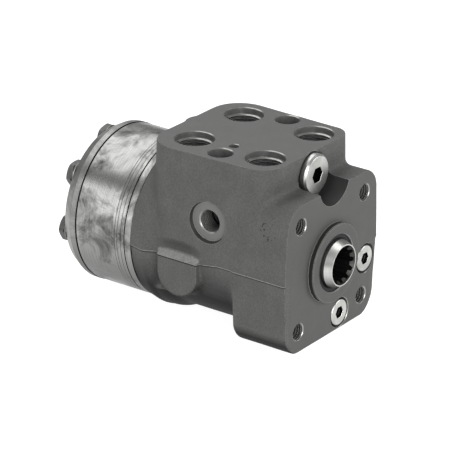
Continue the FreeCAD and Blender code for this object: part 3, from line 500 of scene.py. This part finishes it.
machining = housing.modifiers.new("machining", "BOOLEAN")
machining.operation = "DIFFERENCE"
machining.solver = "MANIFOLD"
machining.operand_type = "COLLECTION"
machining.collection = tools
settle(housing)
for tool in list(tools.objects):
    bpy.data.objects.remove(tool)
bpy.data.collections.remove(tools)


def edge_mask(tree, width):
    """The edges of a piece: the rounded normal of the Bevel node, and 1 where it turns away."""
    rounded = node(tree, "ShaderNodeBevel", {"Radius": width * MM}, samples=6).outputs["Normal"]
    true_normal = node(tree, "ShaderNodeNewGeometry").outputs["Normal"]
    level_run = node(tree, "ShaderNodeVectorMath", {0: rounded, 1: true_normal},
                     operation="DOT_PRODUCT")
    mask = node(tree, "ShaderNodeMapRange", {"Value": level_run.outputs["Value"],
                                             "From Min": 0.99, "From Max": 0.85})
    return rounded, mask.outputs["Result"]


def clouds(tree, spot, dark, light, size, detail=3.0, broken_up=0.5):
    """Two tones that pass into each other in clouds of one size in mm."""
    cloud = node(tree, "ShaderNodeTexNoise", {"Vector": spot, "Scale": 1 / size, "Detail": detail,
                                              "Roughness": broken_up})
    return node(tree, "ShaderNodeMix", {"Factor": cloud.outputs["Fac"], "A": linear(dark),
                                        "B": linear(light)}, data_type="RGBA").outputs["Result"]


# Sand-cast grey iron under a thin grey phosphate: matt and grainy, with faint clouds and a pitted
# patch. The recesses, the underside and the hollow above each lug get painted shade. The grain is
# drawn about twice as coarse as real sand so that it shows. Along the parting line a bright line,
# partly ground flash and partly painted highlight, runs over a painted shade line. Edges and the
# lugs' upward-sloping ledges are painted lighter: the edges partly as wear and partly as painted
# highlight, the ledges as painted highlight.
cast_iron, tree, shader, spot = start_finish("sand_cast_iron", Roughness=0.62)
grain = node(tree, "ShaderNodeTexNoise", {"Vector": spot, "Scale": 1 / 0.9, "Detail": 3.0,
                                          "Roughness": 0.65})
pit = node(tree, "ShaderNodeTexVoronoi", {"Vector": spot, "Scale": 1 / 1.7, "Randomness": 1.0})
pit_mask = node(tree, "ShaderNodeMapRange", {"Value": pit.outputs["Distance"], "From Min": 0.34,
                                             "From Max": 0.14})
patch_away = node(tree, "ShaderNodeVectorMath", {0: spot, 1: (-41.4, 12.4, 27.1)}, operation="DISTANCE")
patch_mask = node(tree, "ShaderNodeMapRange", {"Value": patch_away.outputs["Value"],
                                               "From Min": 6.5, "From Max": 4.5})
pitted = node(tree, "ShaderNodeMath", {0: pit_mask.outputs["Result"], 1: patch_mask.outputs["Result"]},
              operation="MULTIPLY").outputs[0]
tone = clouds(tree, spot, "3c3c3b", "4f4f4e", 11, 4.0, 0.6)
speck = node(tree, "ShaderNodeMapRange", {"Value": grain.outputs["Fac"], "From Min": 0.3, "From Max": 0.7,
                                          "To Min": 0.74, "To Max": 1.26})
shade = node(tree, "ShaderNodeVectorMath", {0: tone, "Scale": speck.outputs["Result"]}, operation="SCALE")
soft_normal, edges = edge_mask(tree, 0.5)
surface = node(tree, "ShaderNodeNewGeometry").outputs
apart = node(tree, "ShaderNodeSeparateXYZ", {"Vector": spot}).outputs
height = apart["Z"]

# The ledges: faces near a lug's top that slope upward, painted lighter as a highlight.
lug_side = node(tree, "ShaderNodeVectorMath", {0: spot}, operation="ABSOLUTE").outputs["Vector"]
lug_away = node(tree, "ShaderNodeVectorMath", {0: lug_side, 1: (43.6, lug_middle_y, 0.6)},
                operation="DISTANCE")
on_lug = node(tree, "ShaderNodeMath", {0: lug_away.outputs["Value"], 1: 13.6}, operation="LESS_THAN")
skin = node(tree, "ShaderNodeSeparateXYZ", {"Vector": surface["Normal"]})
slope = node(tree, "ShaderNodeMapRange", {"Value": skin.outputs["Z"], "From Min": 0.3,
                                          "From Max": 0.55})
level = node(tree, "ShaderNodeMapRange", {"Value": height, "From Min": 2.6, "From Max": 1.2})
ledge_highlight = on_lug.outputs[0]
for share in (slope, level):
    ledge_highlight = node(tree, "ShaderNodeMath", {0: ledge_highlight, 1: share.outputs["Result"]},
                 operation="MULTIPLY").outputs[0]
edges = node(tree, "ShaderNodeMath", {0: edges, 1: ledge_highlight}, operation="MAXIMUM").outputs[0]

# The parting line follows the seam of the form, on the flanks: a bright line, partly ground flash and partly
# painted highlight, over a dark line of painted shade under the overhang.
dip = node(tree, "ShaderNodeMapRange", {"Value": apart["Y"], "From Min": seam_drop_start,
                                        "From Max": seam_drop_end, "To Max": seam_drop})
seam = node(tree, "ShaderNodeMath", {0: height, 1: dip.outputs["Result"]}, operation="ADD").outputs[0]
flank = node(tree, "ShaderNodeMath", {0: apart["X"]}, operation="ABSOLUTE").outputs[0]
flank = node(tree, "ShaderNodeMath", {0: flank, 1: 33.0}, operation="GREATER_THAN").outputs[0]
seam_light_and_shade = []
for line_z in (0.35, -0.3):
    band = node(tree, "ShaderNodeMath", {0: seam, 1: line_z, 2: 0.24}, operation="COMPARE")
    seam_light_and_shade.append(node(tree, "ShaderNodeMath", {0: band.outputs[0], 1: flank},
                      operation="MULTIPLY").outputs[0])
seam_flash_and_highlight, painted_seam_shade = seam_light_and_shade
bright = node(tree, "ShaderNodeMath", {0: edges, 1: seam_flash_and_highlight}, operation="MAXIMUM").outputs[0]
bright = node(tree, "ShaderNodeMath", {0: bright, 1: grain.outputs["Fac"]}, operation="MULTIPLY").outputs[0]
# Edges, the seam's bright line and the ledges are lightened: partly wear, mostly painted highlight.
wear_and_painted_highlight = node(tree, "ShaderNodeMix", {"Factor": bright, "A": shade.outputs["Vector"],
                                      "B": linear("8c8c8a")}, data_type="RGBA")

# Painted shade: in corners and recesses, on the underside and in the hollow above each lug's ledges.
openness = node(tree, "ShaderNodeAmbientOcclusion", {"Distance": 16.0 * MM}, samples=6).outputs["AO"]
painted_recess_shade = node(tree, "ShaderNodeMapRange", {"Value": openness, "From Min": 0.8, "From Max": 0.42,
                                          "To Max": 0.8})
# Skin that faces down, below the seam, is darkened: painted shade.
below = node(tree, "ShaderNodeSeparateXYZ", {"Vector": surface["True Normal"]}).outputs["Z"]
painted_underside_shade = node(tree, "ShaderNodeMapRange", {"Value": below, "From Min": -0.08, "From Max": -0.5,
                                          "To Max": 0.95})
# The hollow over each lug's ledges is darkened: painted shade.
from_hollow = node(tree, "ShaderNodeVectorMath", {0: lug_side, 1: (-43.0, -lug_middle_y, -4.4)},
                   operation="ADD")
from_hollow = node(tree, "ShaderNodeVectorMath", {0: from_hollow.outputs["Vector"],
                                                  1: (1.0, 0.3, 1.0)}, operation="MULTIPLY")
from_hollow = node(tree, "ShaderNodeVectorMath", {0: from_hollow.outputs["Vector"]}, operation="LENGTH")
painted_hollow_shade = node(tree, "ShaderNodeMapRange", {"Value": from_hollow.outputs["Value"], "From Min": 5.0,
                                           "From Max": 2.5, "To Max": 0.4})
above = node(tree, "ShaderNodeMapRange", {"Value": height, "From Min": 1.2, "From Max": 2.8})
painted_hollow_shade = node(tree, "ShaderNodeMath", {0: painted_hollow_shade.outputs["Result"], 1: above.outputs["Result"]},
              operation="MULTIPLY")
low = node(tree, "ShaderNodeMapRange", {"Value": height, "From Min": -1.0, "From Max": -4.0})
painted_underside_shade = node(tree, "ShaderNodeMath", {0: painted_underside_shade.outputs["Result"], 1: low.outputs["Result"]},
             operation="MULTIPLY")
# The pits and all painted shade darken the colour together.
dark = node(tree, "ShaderNodeMath", {0: pitted, 1: painted_seam_shade}, operation="MAXIMUM").outputs[0]
for shadowed in (painted_recess_shade.outputs["Result"], painted_underside_shade.outputs[0], painted_hollow_shade.outputs[0]):
    dark = node(tree, "ShaderNodeMath", {0: dark, 1: shadowed}, operation="MAXIMUM").outputs[0]
# The colour: pits and painted shade darken it; wear and painted highlights lighten it.
skin_wear_and_painted_light = node(tree, "ShaderNodeMix", {"Factor": dark, "A": wear_and_painted_highlight.outputs["Result"],
                                    "B": linear("171717")}, data_type="RGBA")
rough_skin = node(tree, "ShaderNodeMath", {0: pitted, 1: -1.2, 2: grain.outputs["Fac"]},
                  operation="MULTIPLY_ADD")
bump = node(tree, "ShaderNodeBump", {"Height": rough_skin.outputs[0], "Strength": 0.6,
                                     "Distance": 0.28 * MM, "Normal": soft_normal})
gloss = node(tree, "ShaderNodeMapRange", {"Value": dark, "To Min": 0.35, "To Max": 0.08})
tree.links.new(gloss.outputs["Result"], shader.inputs["Specular IOR Level"])
tree.links.new(skin_wear_and_painted_light.outputs["Result"], shader.inputs["Base Color"])
tree.links.new(bump.outputs["Normal"], shader.inputs["Normal"])


def milled(name, dark, light):
    """Milled or turned iron: smoother than the cast skin, fine cutter marks, edges painted lighter, partly
    as wear and partly as painted highlight.
    """
    finish, tree, shader, spot = start_finish(name, Roughness=0.55, Specular_IOR_Level=0.4)
    grain = node(tree, "ShaderNodeTexNoise", {"Vector": spot, "Scale": 1 / 0.7, "Detail": 2.0})
    tone = clouds(tree, spot, dark, light, 9, 5.0, 0.6)
    marks = node(tree, "ShaderNodeTexWave", {"Vector": spot, "Scale": 0.55, "Distortion": 0.4},
                 wave_type="RINGS", rings_direction="SPHERICAL")
    height = node(tree, "ShaderNodeMath", {0: marks.outputs["Fac"], 1: 0.25, 2: grain.outputs["Fac"]},
                  operation="MULTIPLY_ADD")
    soft_normal, edges = edge_mask(tree, 0.45)
    wear_and_painted_highlight = node(tree, "ShaderNodeMix", {"Factor": edges, "A": tone, "B": linear("8d8d8b")},
                  data_type="RGBA")
    bump = node(tree, "ShaderNodeBump", {"Height": height.outputs[0], "Strength": 0.25,
                                         "Distance": 0.1 * MM, "Normal": soft_normal})
    tree.links.new(wear_and_painted_highlight.outputs["Result"], shader.inputs["Base Color"])
    tree.links.new(bump.outputs["Normal"], shader.inputs["Normal"])
    return finish


# Large faces milled before the phosphate are a little lighter than the cast skin. The column face,
# about like the cast skin, takes a darker copy of the milled finish: painted shade. The spot face,
# cut after it, is lighter still. The turned walls of the boss and the sink, the notch walls and the
# thread grooves are painted near-black, and the thread flanks dark grey: painted shade.
milled_iron = milled("milled_iron", "424241", "4f4f4e")
# The column face's darker copy of the milled finish: painted shade.
faced_iron = milled("faced_iron", "393938", "454544")
spot_faced_iron = milled("spot_faced_iron", "545453", "646463")
# Near-black walls: painted shade.
painted_shade_wall = milled("painted_shade_wall_iron", "141414", "222221")
# Dark grey thread flanks: painted shade.
tapped_iron = milled("tapped_iron", "2e2e2d", "434342")


def clouded(name, *tones, **values):
    """A finish in clouded tones, given as clouds() takes them."""
    finish, tree, shader, spot = start_finish(name, **values)
    tree.links.new(clouds(tree, spot, *tones), shader.inputs["Base Color"])
    return finish, tree, shader, spot


def grained(tree, shader, spot, size, strength, depth):
    """Gives a finish a fine grain; its size and depth are in mm."""
    grain = node(tree, "ShaderNodeTexNoise", {"Vector": spot, "Scale": 1 / size, "Detail": 2.0})
    bump = node(tree, "ShaderNodeBump", {"Height": grain.outputs["Fac"], "Strength": strength,
                                         "Distance": depth * MM})
    tree.links.new(bump.outputs["Normal"], shader.inputs["Normal"])


# Bored walls have a dull machine-oil shine. Countersinks and broken edges are the last cut, so
# they are brighter.
bored_iron = clouded("bored_iron", "6a6a69", "969695", 3, Roughness=0.36, Metallic=0.7)[0]
bright_cut = clouded("bright_cut_iron", "7c7c7a", "a9a9a6", 1.5, Roughness=0.3, Metallic=1.0)[0]


def shade_by_angle(mesh, degrees):
    """Smooth shading with a sharp line where two faces meet at more than this angle."""
    mesh.shade_smooth()
    mesh.set_sharp_from_angle(angle=math.radians(degrees))


shade_by_angle(housing.data, 35)
housing.data.materials.clear()
CAST, MILLED, BORED, BRIGHT, SPOT_FACED, DARK, FACED, TAPPED = range(8)
for finish in (cast_iron, milled_iron, bored_iron, bright_cut, spot_faced_iron, painted_shade_wall,
               faced_iron, tapped_iron):
    housing.data.materials.append(finish)
faces = housing.data.polygons
centres = np.array([f.center for f in faces]) / MM
normals = np.abs(np.array([f.normal for f in faces]))
at_x, at_y, at_z = centres.T
from_axis = np.hypot(at_x, at_z)
from_sensing = np.hypot(at_y - sensing_y, at_z - sensing_z)
kind = np.where(np.abs(field_at(casting, centres)) < 0.2, CAST, BORED)
for axis, value in ((1, 0.0), (1, -boss_height), (1, housing_end), (2, block_top), (0, wall_x)):
    kind[(np.abs(centres[:, axis] - value) < 0.01) & (normals[:, axis] > 0.99)] = MILLED

# Threads: painted shade, near-black in the grooves and dark grey on the flanks. Then the countersinks round
# the mouths.
column_spots = [(sx * hole_offset, sz * hole_offset) for sx, sz in product((-1, 1), repeat=2)]
port_spots = [(sx * port_x, y0) for sx, y0 in product((-1, 1), port_ys)]
for axis, mouth_at, spots, reach in ((1, 0.0, column_spots, 5.2),
                                     (0, wall_x, [(sensing_y, sensing_z)], 6.7),
                                     (2, block_top, port_spots, 10.4)):
    depth = np.abs(centres[:, axis] - mouth_at)
    u, v = [centres[:, o] for o in range(3) if o != axis]
    away = np.min([np.hypot(u - su, v - sv) for su, sv in spots], 0)
    tapped = (kind == BORED) & (depth > 0.7) & (depth < 16.5) & (away < reach)
    kind[tapped & (normals[:, axis] < 0.3)] = DARK
    kind[tapped & (np.abs(normals[:, axis] - 0.87) < 0.06)] = TAPPED
for axis, depth in ((1, at_y), (2, block_top - at_z)):
    sloping = np.abs(normals[:, axis] - 0.707) < 0.03
    kind[(kind == BORED) & (depth > -0.1) & (depth < 4.2) & sloping] = BRIGHT

# Spot face; then the walls of the boss, the sink and the notch, painted near-black as shade; and last the
# column face.
on_wall = (kind == MILLED) & (np.abs(at_x - wall_x) < 0.01)
kind[on_wall] = np.where(from_sensing[on_wall] < 10.6, SPOT_FACED, CAST)
boss_wall = (np.abs(from_axis - boss_r) < 0.3) & (at_y < 0) & (at_y > -2.4)
sink_wall = (kind == BORED) & (from_sensing > 8.0) & (at_x < wall_x + 1)
kind[boss_wall | sink_wall] = DARK
notch_wall = np.abs(np.hypot(at_x - notch_x, at_z - notch_z) - notch_r) < 0.1
kind[notch_wall & (at_y < block_front + 0.1) & (normals[:, 1] < 0.1)] = DARK
kind[(kind == BORED) & (at_y < -2.4) & (at_y > -boss_height) & (from_axis > 21)] = MILLED
# The column face takes the darker copy of the milled finish: painted shade.
kind[(kind == MILLED) & (at_y < 0.1)] = FACED
faces.foreach_set("material_index", kind.astype(np.int32))
faces.foreach_set("use_smooth", (kind != MILLED) & (kind != SPOT_FACED) & (kind != FACED))
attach(housing, "housing_body")
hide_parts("housing")


# Distributor plate, gear ring and end cover. Turned and ground steel, clamped to the housing by
# the cover screws, with circumferential grinding lines, oil stains and broken edges.

def dress(name, finish, edge=0.0, degrees=30, reshape=None):
    """A merged, softly shaded copy of a CAD node that stands for it, its edges broken."""
    form = bmesh.new()
    form.from_mesh(nodes[name].data)
    bmesh.ops.remove_doubles(form, verts=form.verts, dist=0.5e-6)
    bmesh.ops.dissolve_limit(form, angle_limit=math.radians(0.2), verts=form.verts, edges=form.edges)
    if reshape:
        reshape(form)
    form.normal_update()
    for face in form.faces:
        face.smooth = True
    for line in form.edges:
        line.smooth = line.calc_face_angle(math.pi) < math.radians(degrees)
    mesh = bpy.data.meshes.new(name + "_finished")
    form.to_mesh(mesh)
    form.free()
    mesh.materials.clear()
    mesh.materials.append(finish)
    piece = bpy.data.objects.new(name + "_finished", mesh)
    scene.collection.objects.link(piece)
    if edge:
        bevel = piece.modifiers.new("edge", "BEVEL")
        bevel.width = edge * MM
        bevel.segments = 2
        bevel.limit_method = "ANGLE"
        bevel.angle_limit = math.radians(40)
    level = piece.modifiers.new("level faces", "WEIGHTED_NORMAL")
    level.keep_sharp = True
    level.weight = 80
    settle(piece)
    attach(piece, nodes[name]["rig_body"])
    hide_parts(name)
    return piece


def brushed_steel(name, dark, light, stain, lines, roughness, scribed=(), joints=()):
    """Steel with fine lines round the Y axis, cloudy stains and painted shade on the faces that look down.

    lines is about how many lines a millimetre holds, stain how dark the stains are; scribed and
    joints hold the Y of turned lines and of oil-filled joints.
    """
    finish, tree, shader, spot = start_finish(name, Roughness=roughness, Metallic=1.0)
    stretch = node(tree, "ShaderNodeVectorMath", {0: spot, 1: (0.03, lines, 0.03)},
                   operation="MULTIPLY")
    brush = node(tree, "ShaderNodeTexNoise", {"Vector": stretch.outputs["Vector"], "Scale": 1.0,
                                              "Detail": 3.0, "Roughness": 0.6})
    cloud = node(tree, "ShaderNodeTexNoise", {"Vector": spot, "Scale": 1 / 17, "Detail": 6.0,
                                              "Roughness": 0.68, "Distortion": 0.6})
    cloud_mask = node(tree, "ShaderNodeMapRange", {"Value": cloud.outputs["Fac"], "From Min": 0.42,
                                                   "From Max": 0.64, "To Max": stain})
    tone = node(tree, "ShaderNodeMix", {"Factor": brush.outputs["Fac"], "A": linear(dark),
                                        "B": linear(light)}, data_type="RGBA")
    surface = node(tree, "ShaderNodeNewGeometry").outputs
    skin = node(tree, "ShaderNodeSeparateXYZ", {"Vector": surface["Normal"]})
    # Faces that look down are darkened: painted shade.
    painted_underside_shade = node(tree, "ShaderNodeMapRange", {"Value": skin.outputs["Z"], "From Min": -0.1,
                                              "From Max": -0.75, "To Max": 0.85})
    stain_and_shade_mask = node(tree, "ShaderNodeMath", {0: cloud_mask.outputs["Result"], 1: painted_underside_shade.outputs["Result"]},
                  operation="MAXIMUM")
    stains_and_shade = node(tree, "ShaderNodeMix", {"Factor": stain_and_shade_mask.outputs[0],
                                           "A": tone.outputs["Result"], "B": linear("2b2b2b")},
                   data_type="RGBA")
    rough = node(tree, "ShaderNodeMapRange", {"Value": cloud_mask.outputs["Result"], "To Min": roughness,
                                              "To Max": roughness + 0.2})
    height, colour = brush.outputs["Fac"], stains_and_shade.outputs["Result"]
    along = node(tree, "ShaderNodeSeparateXYZ", {"Vector": spot}).outputs["Y"]
    for line_y, width, deep in [(y0, 0.22, 0.6) for y0 in scribed] + [(y0, 0.3, 1.0) for y0 in joints]:
        away = node(tree, "ShaderNodeMath", {0: along, 1: line_y, 2: width},
                    operation="COMPARE").outputs[0]
        height = node(tree, "ShaderNodeMath", {0: away, 1: -1.5, 2: height},
                      operation="MULTIPLY_ADD").outputs[0]
        away = node(tree, "ShaderNodeMath", {0: away, 1: deep}, operation="MULTIPLY").outputs[0]
        colour = node(tree, "ShaderNodeMix", {"Factor": away, "A": colour, "B": linear("1a1a1a")},
                      data_type="RGBA").outputs["Result"]
    bump = node(tree, "ShaderNodeBump", {"Height": height, "Strength": 0.35, "Distance": 0.06 * MM})
    tree.links.new(colour, shader.inputs["Base Color"])
    tree.links.new(rough.outputs["Result"], shader.inputs["Roughness"])
    tree.links.new(bump.outputs["Normal"], shader.inputs["Normal"])
    return finish


ring_front, ring_rear, cover_face = 101.3, 133.3, 142.8
ring_steel = brushed_steel("oiled_ring_steel", "727271", "acacaa", 0.85, 2.2, 0.26,
                           (103.6, 106.0, 107.6), (housing_end, ring_front, ring_rear))
cover_steel = brushed_steel("turned_cover_steel", "6f6f6e", "9d9d9b", 0.55, 1.6, 0.36, (), (ring_rear,))
dress("distributor_plate", ring_steel, 0.2)
dress("gear_ring", ring_steel, 0.2)
dress("end_cover", cover_steel, 0.25)


# Cover screws and washers. Seven phosphated hexagon screws on one circle, forged heads with a
# turned crown, on plated sealing washers; one of them holds back the check ball.
screw_tree, sizes = start_tree("screw_circle", Geometry="Geometry", Circle_Radius="Float", Face_Y="Float",
                               First="Float", Head_Turn="Float", Count="Int", Material="Material")
index = node(screw_tree, "GeometryNodeInputIndex").outputs[0]
number = node(screw_tree, "ShaderNodeMath", {0: index, 1: sizes["First"]},
              operation="ADD").outputs[0]
angle = node(screw_tree, "ShaderNodeMath", {0: number, 1: lobe_step, 2: math.pi / 2},
             operation="MULTIPLY_ADD").outputs[0]
place_x, place_z = [node(screw_tree, "ShaderNodeMath", {
    0: node(screw_tree, "ShaderNodeMath", {0: angle}, operation=side).outputs[0],
    1: sizes["Circle Radius"]}, operation="MULTIPLY").outputs[0] for side in ("COSINE", "SINE")]
place = node(screw_tree, "ShaderNodeCombineXYZ", {"X": place_x, "Y": sizes["Face Y"], "Z": place_z})
turn = node(screw_tree, "ShaderNodeMath", {0: sizes["Head Turn"], 1: angle},
            operation="SUBTRACT").outputs[0]
facing = node(screw_tree, "ShaderNodeCombineXYZ", {"X": 0.0, "Y": turn, "Z": 0.0})
points = node(screw_tree, "GeometryNodePoints", {"Count": sizes["Count"], "Position": place.outputs[0]})
placed = node(screw_tree, "GeometryNodeInstanceOnPoints", {
    "Points": points.outputs[0], "Instance": sizes["Geometry"], "Rotation": facing.outputs[0]})
real = node(screw_tree, "GeometryNodeRealizeInstances", {"Geometry": placed.outputs["Instances"]})
coated = node(screw_tree, "GeometryNodeSetMaterial", {"Geometry": real.outputs["Geometry"],
                                                      "Material": sizes["Material"]})
node(screw_tree, "NodeGroupOutput", {"Geometry": coated.outputs["Geometry"]})


def hexagon_reach(degrees, flats):
    """How far a hexagon reaches in one direction, with a corner at 0 degrees."""
    return flats / 2 / math.cos(math.radians(degrees % 60 - 30))


def screw_form(nose):
    """One screw along Y, its head on y = 0 looking towards +Y; nose lengthens its end."""
    flats, height, sides = 13.0, 4.3, 72
    crown_r, collar_r, shank_r, thread_r, nose_r = flats / 2 - 0.25, flats / 2 - 0.1, 4.0, 3.37, 2.9
    shank_end, thread_end = -46.9, -64.9
    form = bmesh.new()

    def ring(radius_at, y_at):
        """One ring of vertices; the radius depends on the angle and Y on the radius."""
        made = []
        for s in range(sides):
            degrees = 360 * s / sides
            radius = radius_at(degrees)
            a = math.radians(degrees)
            place = Vector((radius * math.cos(a), y_at(radius), radius * math.sin(a)))
            made.append(form.verts.new(place * MM))
        return made

    outline = [(lambda d: crown_r - 1.2, lambda r: height - 0.15),
               (lambda d: crown_r - 0.3, lambda r: height), (lambda d: crown_r, lambda r: height)]
    outline += [(lambda d, k=k: crown_r + (hexagon_reach(d, flats) - crown_r) * k,
                 lambda r: height - max(0.0, r - crown_r) * math.tan(math.radians(28)))
                for k in (0.5, 1.0)]
    outline += [(lambda d: hexagon_reach(d, flats), lambda r: 0.9),
                (lambda d: min(hexagon_reach(d, flats), flats / 2 + 0.1), lambda r: 0.55)]
    turned = [(collar_r, 0.45), (collar_r, 0.0), (shank_r, 0.0), (shank_r, shank_end),
              (thread_r, shank_end), (thread_r, thread_end)]
    if nose:
        turned += [(nose_r, thread_end), (nose_r, nose)]
    outline += [(lambda d, r0=r0: r0, lambda r, y0=y0: y0) for r0, y0 in turned]
    rings = [ring(*step) for step in outline]
    for first, second in zip(rings, rings[1:]):
        for s in range(sides):
            form.faces.new((first[s], first[(s + 1) % sides], second[(s + 1) % sides], second[s]))
    form.faces.new(rings[0])
    form.faces.new(rings[-1])
    bmesh.ops.recalc_face_normals(form, faces=form.faces)
    mesh = bpy.data.meshes.new("screw")
    form.to_mesh(mesh)
    form.free()
    return mesh


screw_steel, *skin = clouded("phosphated_screw", "3a3a3a", "636362", 4, 5.0, 0.65,
                             Roughness=0.48, Metallic=0.8)
grained(*skin, 0.6, 0.3, 0.08)
plated_washer = start_finish("plated_washer", Roughness=0.4, Metallic=1.0,
                             Base_Color=linear("6e6d6b"))[0]

hole_r, rim_r, washer_thickness, broken = 4.3, 7.6, 1.0, 0.25
washer = lathe("washer", [(0, hole_r), (0, rim_r - broken), (broken, rim_r),
                          (washer_thickness - broken, rim_r), (washer_thickness, rim_r - broken),
                          (washer_thickness, hole_r), (0, hole_r)], sides=48).data
form = bmesh.new()
form.from_mesh(washer)
bmesh.ops.remove_doubles(form, verts=form.verts, dist=1e-6)
bmesh.ops.recalc_face_normals(form, faces=form.faces)
form.to_mesh(washer)
form.free()
under_head = cover_face + washer_thickness
for name, base, face, first, count, finish, slot in (
        ("cover_screws", screw_form(None), under_head, 4, 6, screw_steel, "screw_steel"),
        ("special_screw", screw_form(-74.55), under_head, 3, 1, screw_steel, "screw_steel"),
        ("screw_washers", washer, cover_face, 0, 7, plated_washer, "copper_washer")):
    base.materials.append(finish)
    piece = run_tree(screw_tree, name + "_finished", {
        "Circle Radius": screw_circle_r * MM, "Face Y": face * MM, "First": float(first),
        "Head Turn": math.radians(15), "Count": count, "Material": finish}, base)
    shade_by_angle(piece.data, 25)
    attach(piece, "housing_body")
    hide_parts(name)


# Spool, with its splined socket for the steering column, turned and hardened, running in the
# housing behind a rubber dust seal.
spool_steel = brushed_steel("hardened_spool", "a4a4a2", "d9d9d6", 0.2, 3.0, 0.3)


def turn_nose(form):
    """The nose tapers to its end face, of which only a narrow ring is left."""
    ring_outer_r, ring_inner_r, taper_start_y = 11.25, 10.7, -3.7
    for vertex in form.verts:
        reach, radius = vertex.co.y / MM, math.hypot(vertex.co.x, vertex.co.z) / MM
        if reach < -7.5:
            kept = (ring_outer_r if radius > 11.5 else ring_inner_r) / radius
            vertex.co.x, vertex.co.z = vertex.co.x * kept, vertex.co.z * kept
        elif reach < -6.5 and radius > 12.5:
            vertex.co.y = taper_start_y * MM


spool = dress("spool", spool_steel, 0.08, 20, turn_nose)
# The spline is left as broached; it is painted dark as shade.
shaded_spline = brushed_steel("painted_shade_spline", "2f2f2e", "525251", 0.4, 3.0, 0.4)
spool.data.materials.append(shaded_spline)
for face in spool.data.polygons:
    if math.hypot(face.center.x, face.center.z) < 10.6 * MM and -7.55 * MM < face.center.y < 20 * MM:
        face.material_index = 1

# The dust seal and the flat seals under the valve plugs: black rubber with a fine grain.
seal_rubber, *skin = start_finish("nitrile_rubber", Roughness=0.6, Specular_IOR_Level=0.25,
                                  Base_Color=linear("131313"))
grained(*skin, 0.5, 0.2, 0.05)
for name in ("dust_seal", "relief_plug_seal", "shock_plug_seals"):
    dress(name, seal_rubber)


# Valve plugs. The relief valve's plug in the block's front wall and two shock valve plugs in the
# column face: turned steel, zinc plated, with hexagon sockets.
zinc_plug = brushed_steel("zinc_plated_plug", "9c9c9a", "d4d4d1", 0.35, 2.5, 0.32)
# The hexagon sockets are painted near-black: painted shade.
shaded_socket = brushed_steel("painted_shade_socket_steel", "1d1d1d", "3a3a39", 0.3, 2.0, 0.3)
shock_spots = [(shock_circle_r * math.cos(a), shock_circle_r * math.sin(a)) for a in shock_angles]
for name, spots, socket_r in (("relief_plug", [(0, relief_z)], 4.8), ("shock_plugs", shock_spots, 3.7)):
    plug = dress(name, zinc_plug, 0.2)
    plug.data.materials.append(shaded_socket)
    front = min(v.co.y for v in plug.data.vertices)
    for face in plug.data.polygons:
        away = min(math.hypot(face.center.x - px * MM, face.center.z - pz * MM)
                   for px, pz in spots)
        if away < socket_r * MM and face.center.y > front + 0.3 * MM:
            face.material_index = 1


# Inner pieces: rotor, cardan shaft, sleeve, bearing, springs, valve parts and O-rings keep their
# CAD form and take the finish of their own steel or rubber.
inner_steel = brushed_steel("inner_steel", "8a8a89", "bdbdbb", 0.3, 2.0, 0.3)
spring_steel = brushed_steel("spring_wire", "5a5b60", "85868a", 0.2, 2.0, 0.35)
# Each valve spring is dressed in spring wire and gets a mesh of its own.
for name, joint, lift in (("relief_spring", "relief_lift", 2.0),
                          ("shock_spring_side", "shock_side_lift", 1.5),
                          ("shock_spring_bottom", "shock_bottom_lift", 1.5)):
    wire = dress(name, spring_steel)
    low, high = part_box(name)
    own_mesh(wire)
for name, part in nodes.items():
    if part.hide_render:
        continue
    if "o_ring" in name or "seal" in name:
        finish = seal_rubber
    elif "spring" in name:
        finish = spring_steel
    else:
        finish = inner_steel
    for index in range(len(part.data.materials)):
        part.data.materials[index] = finish
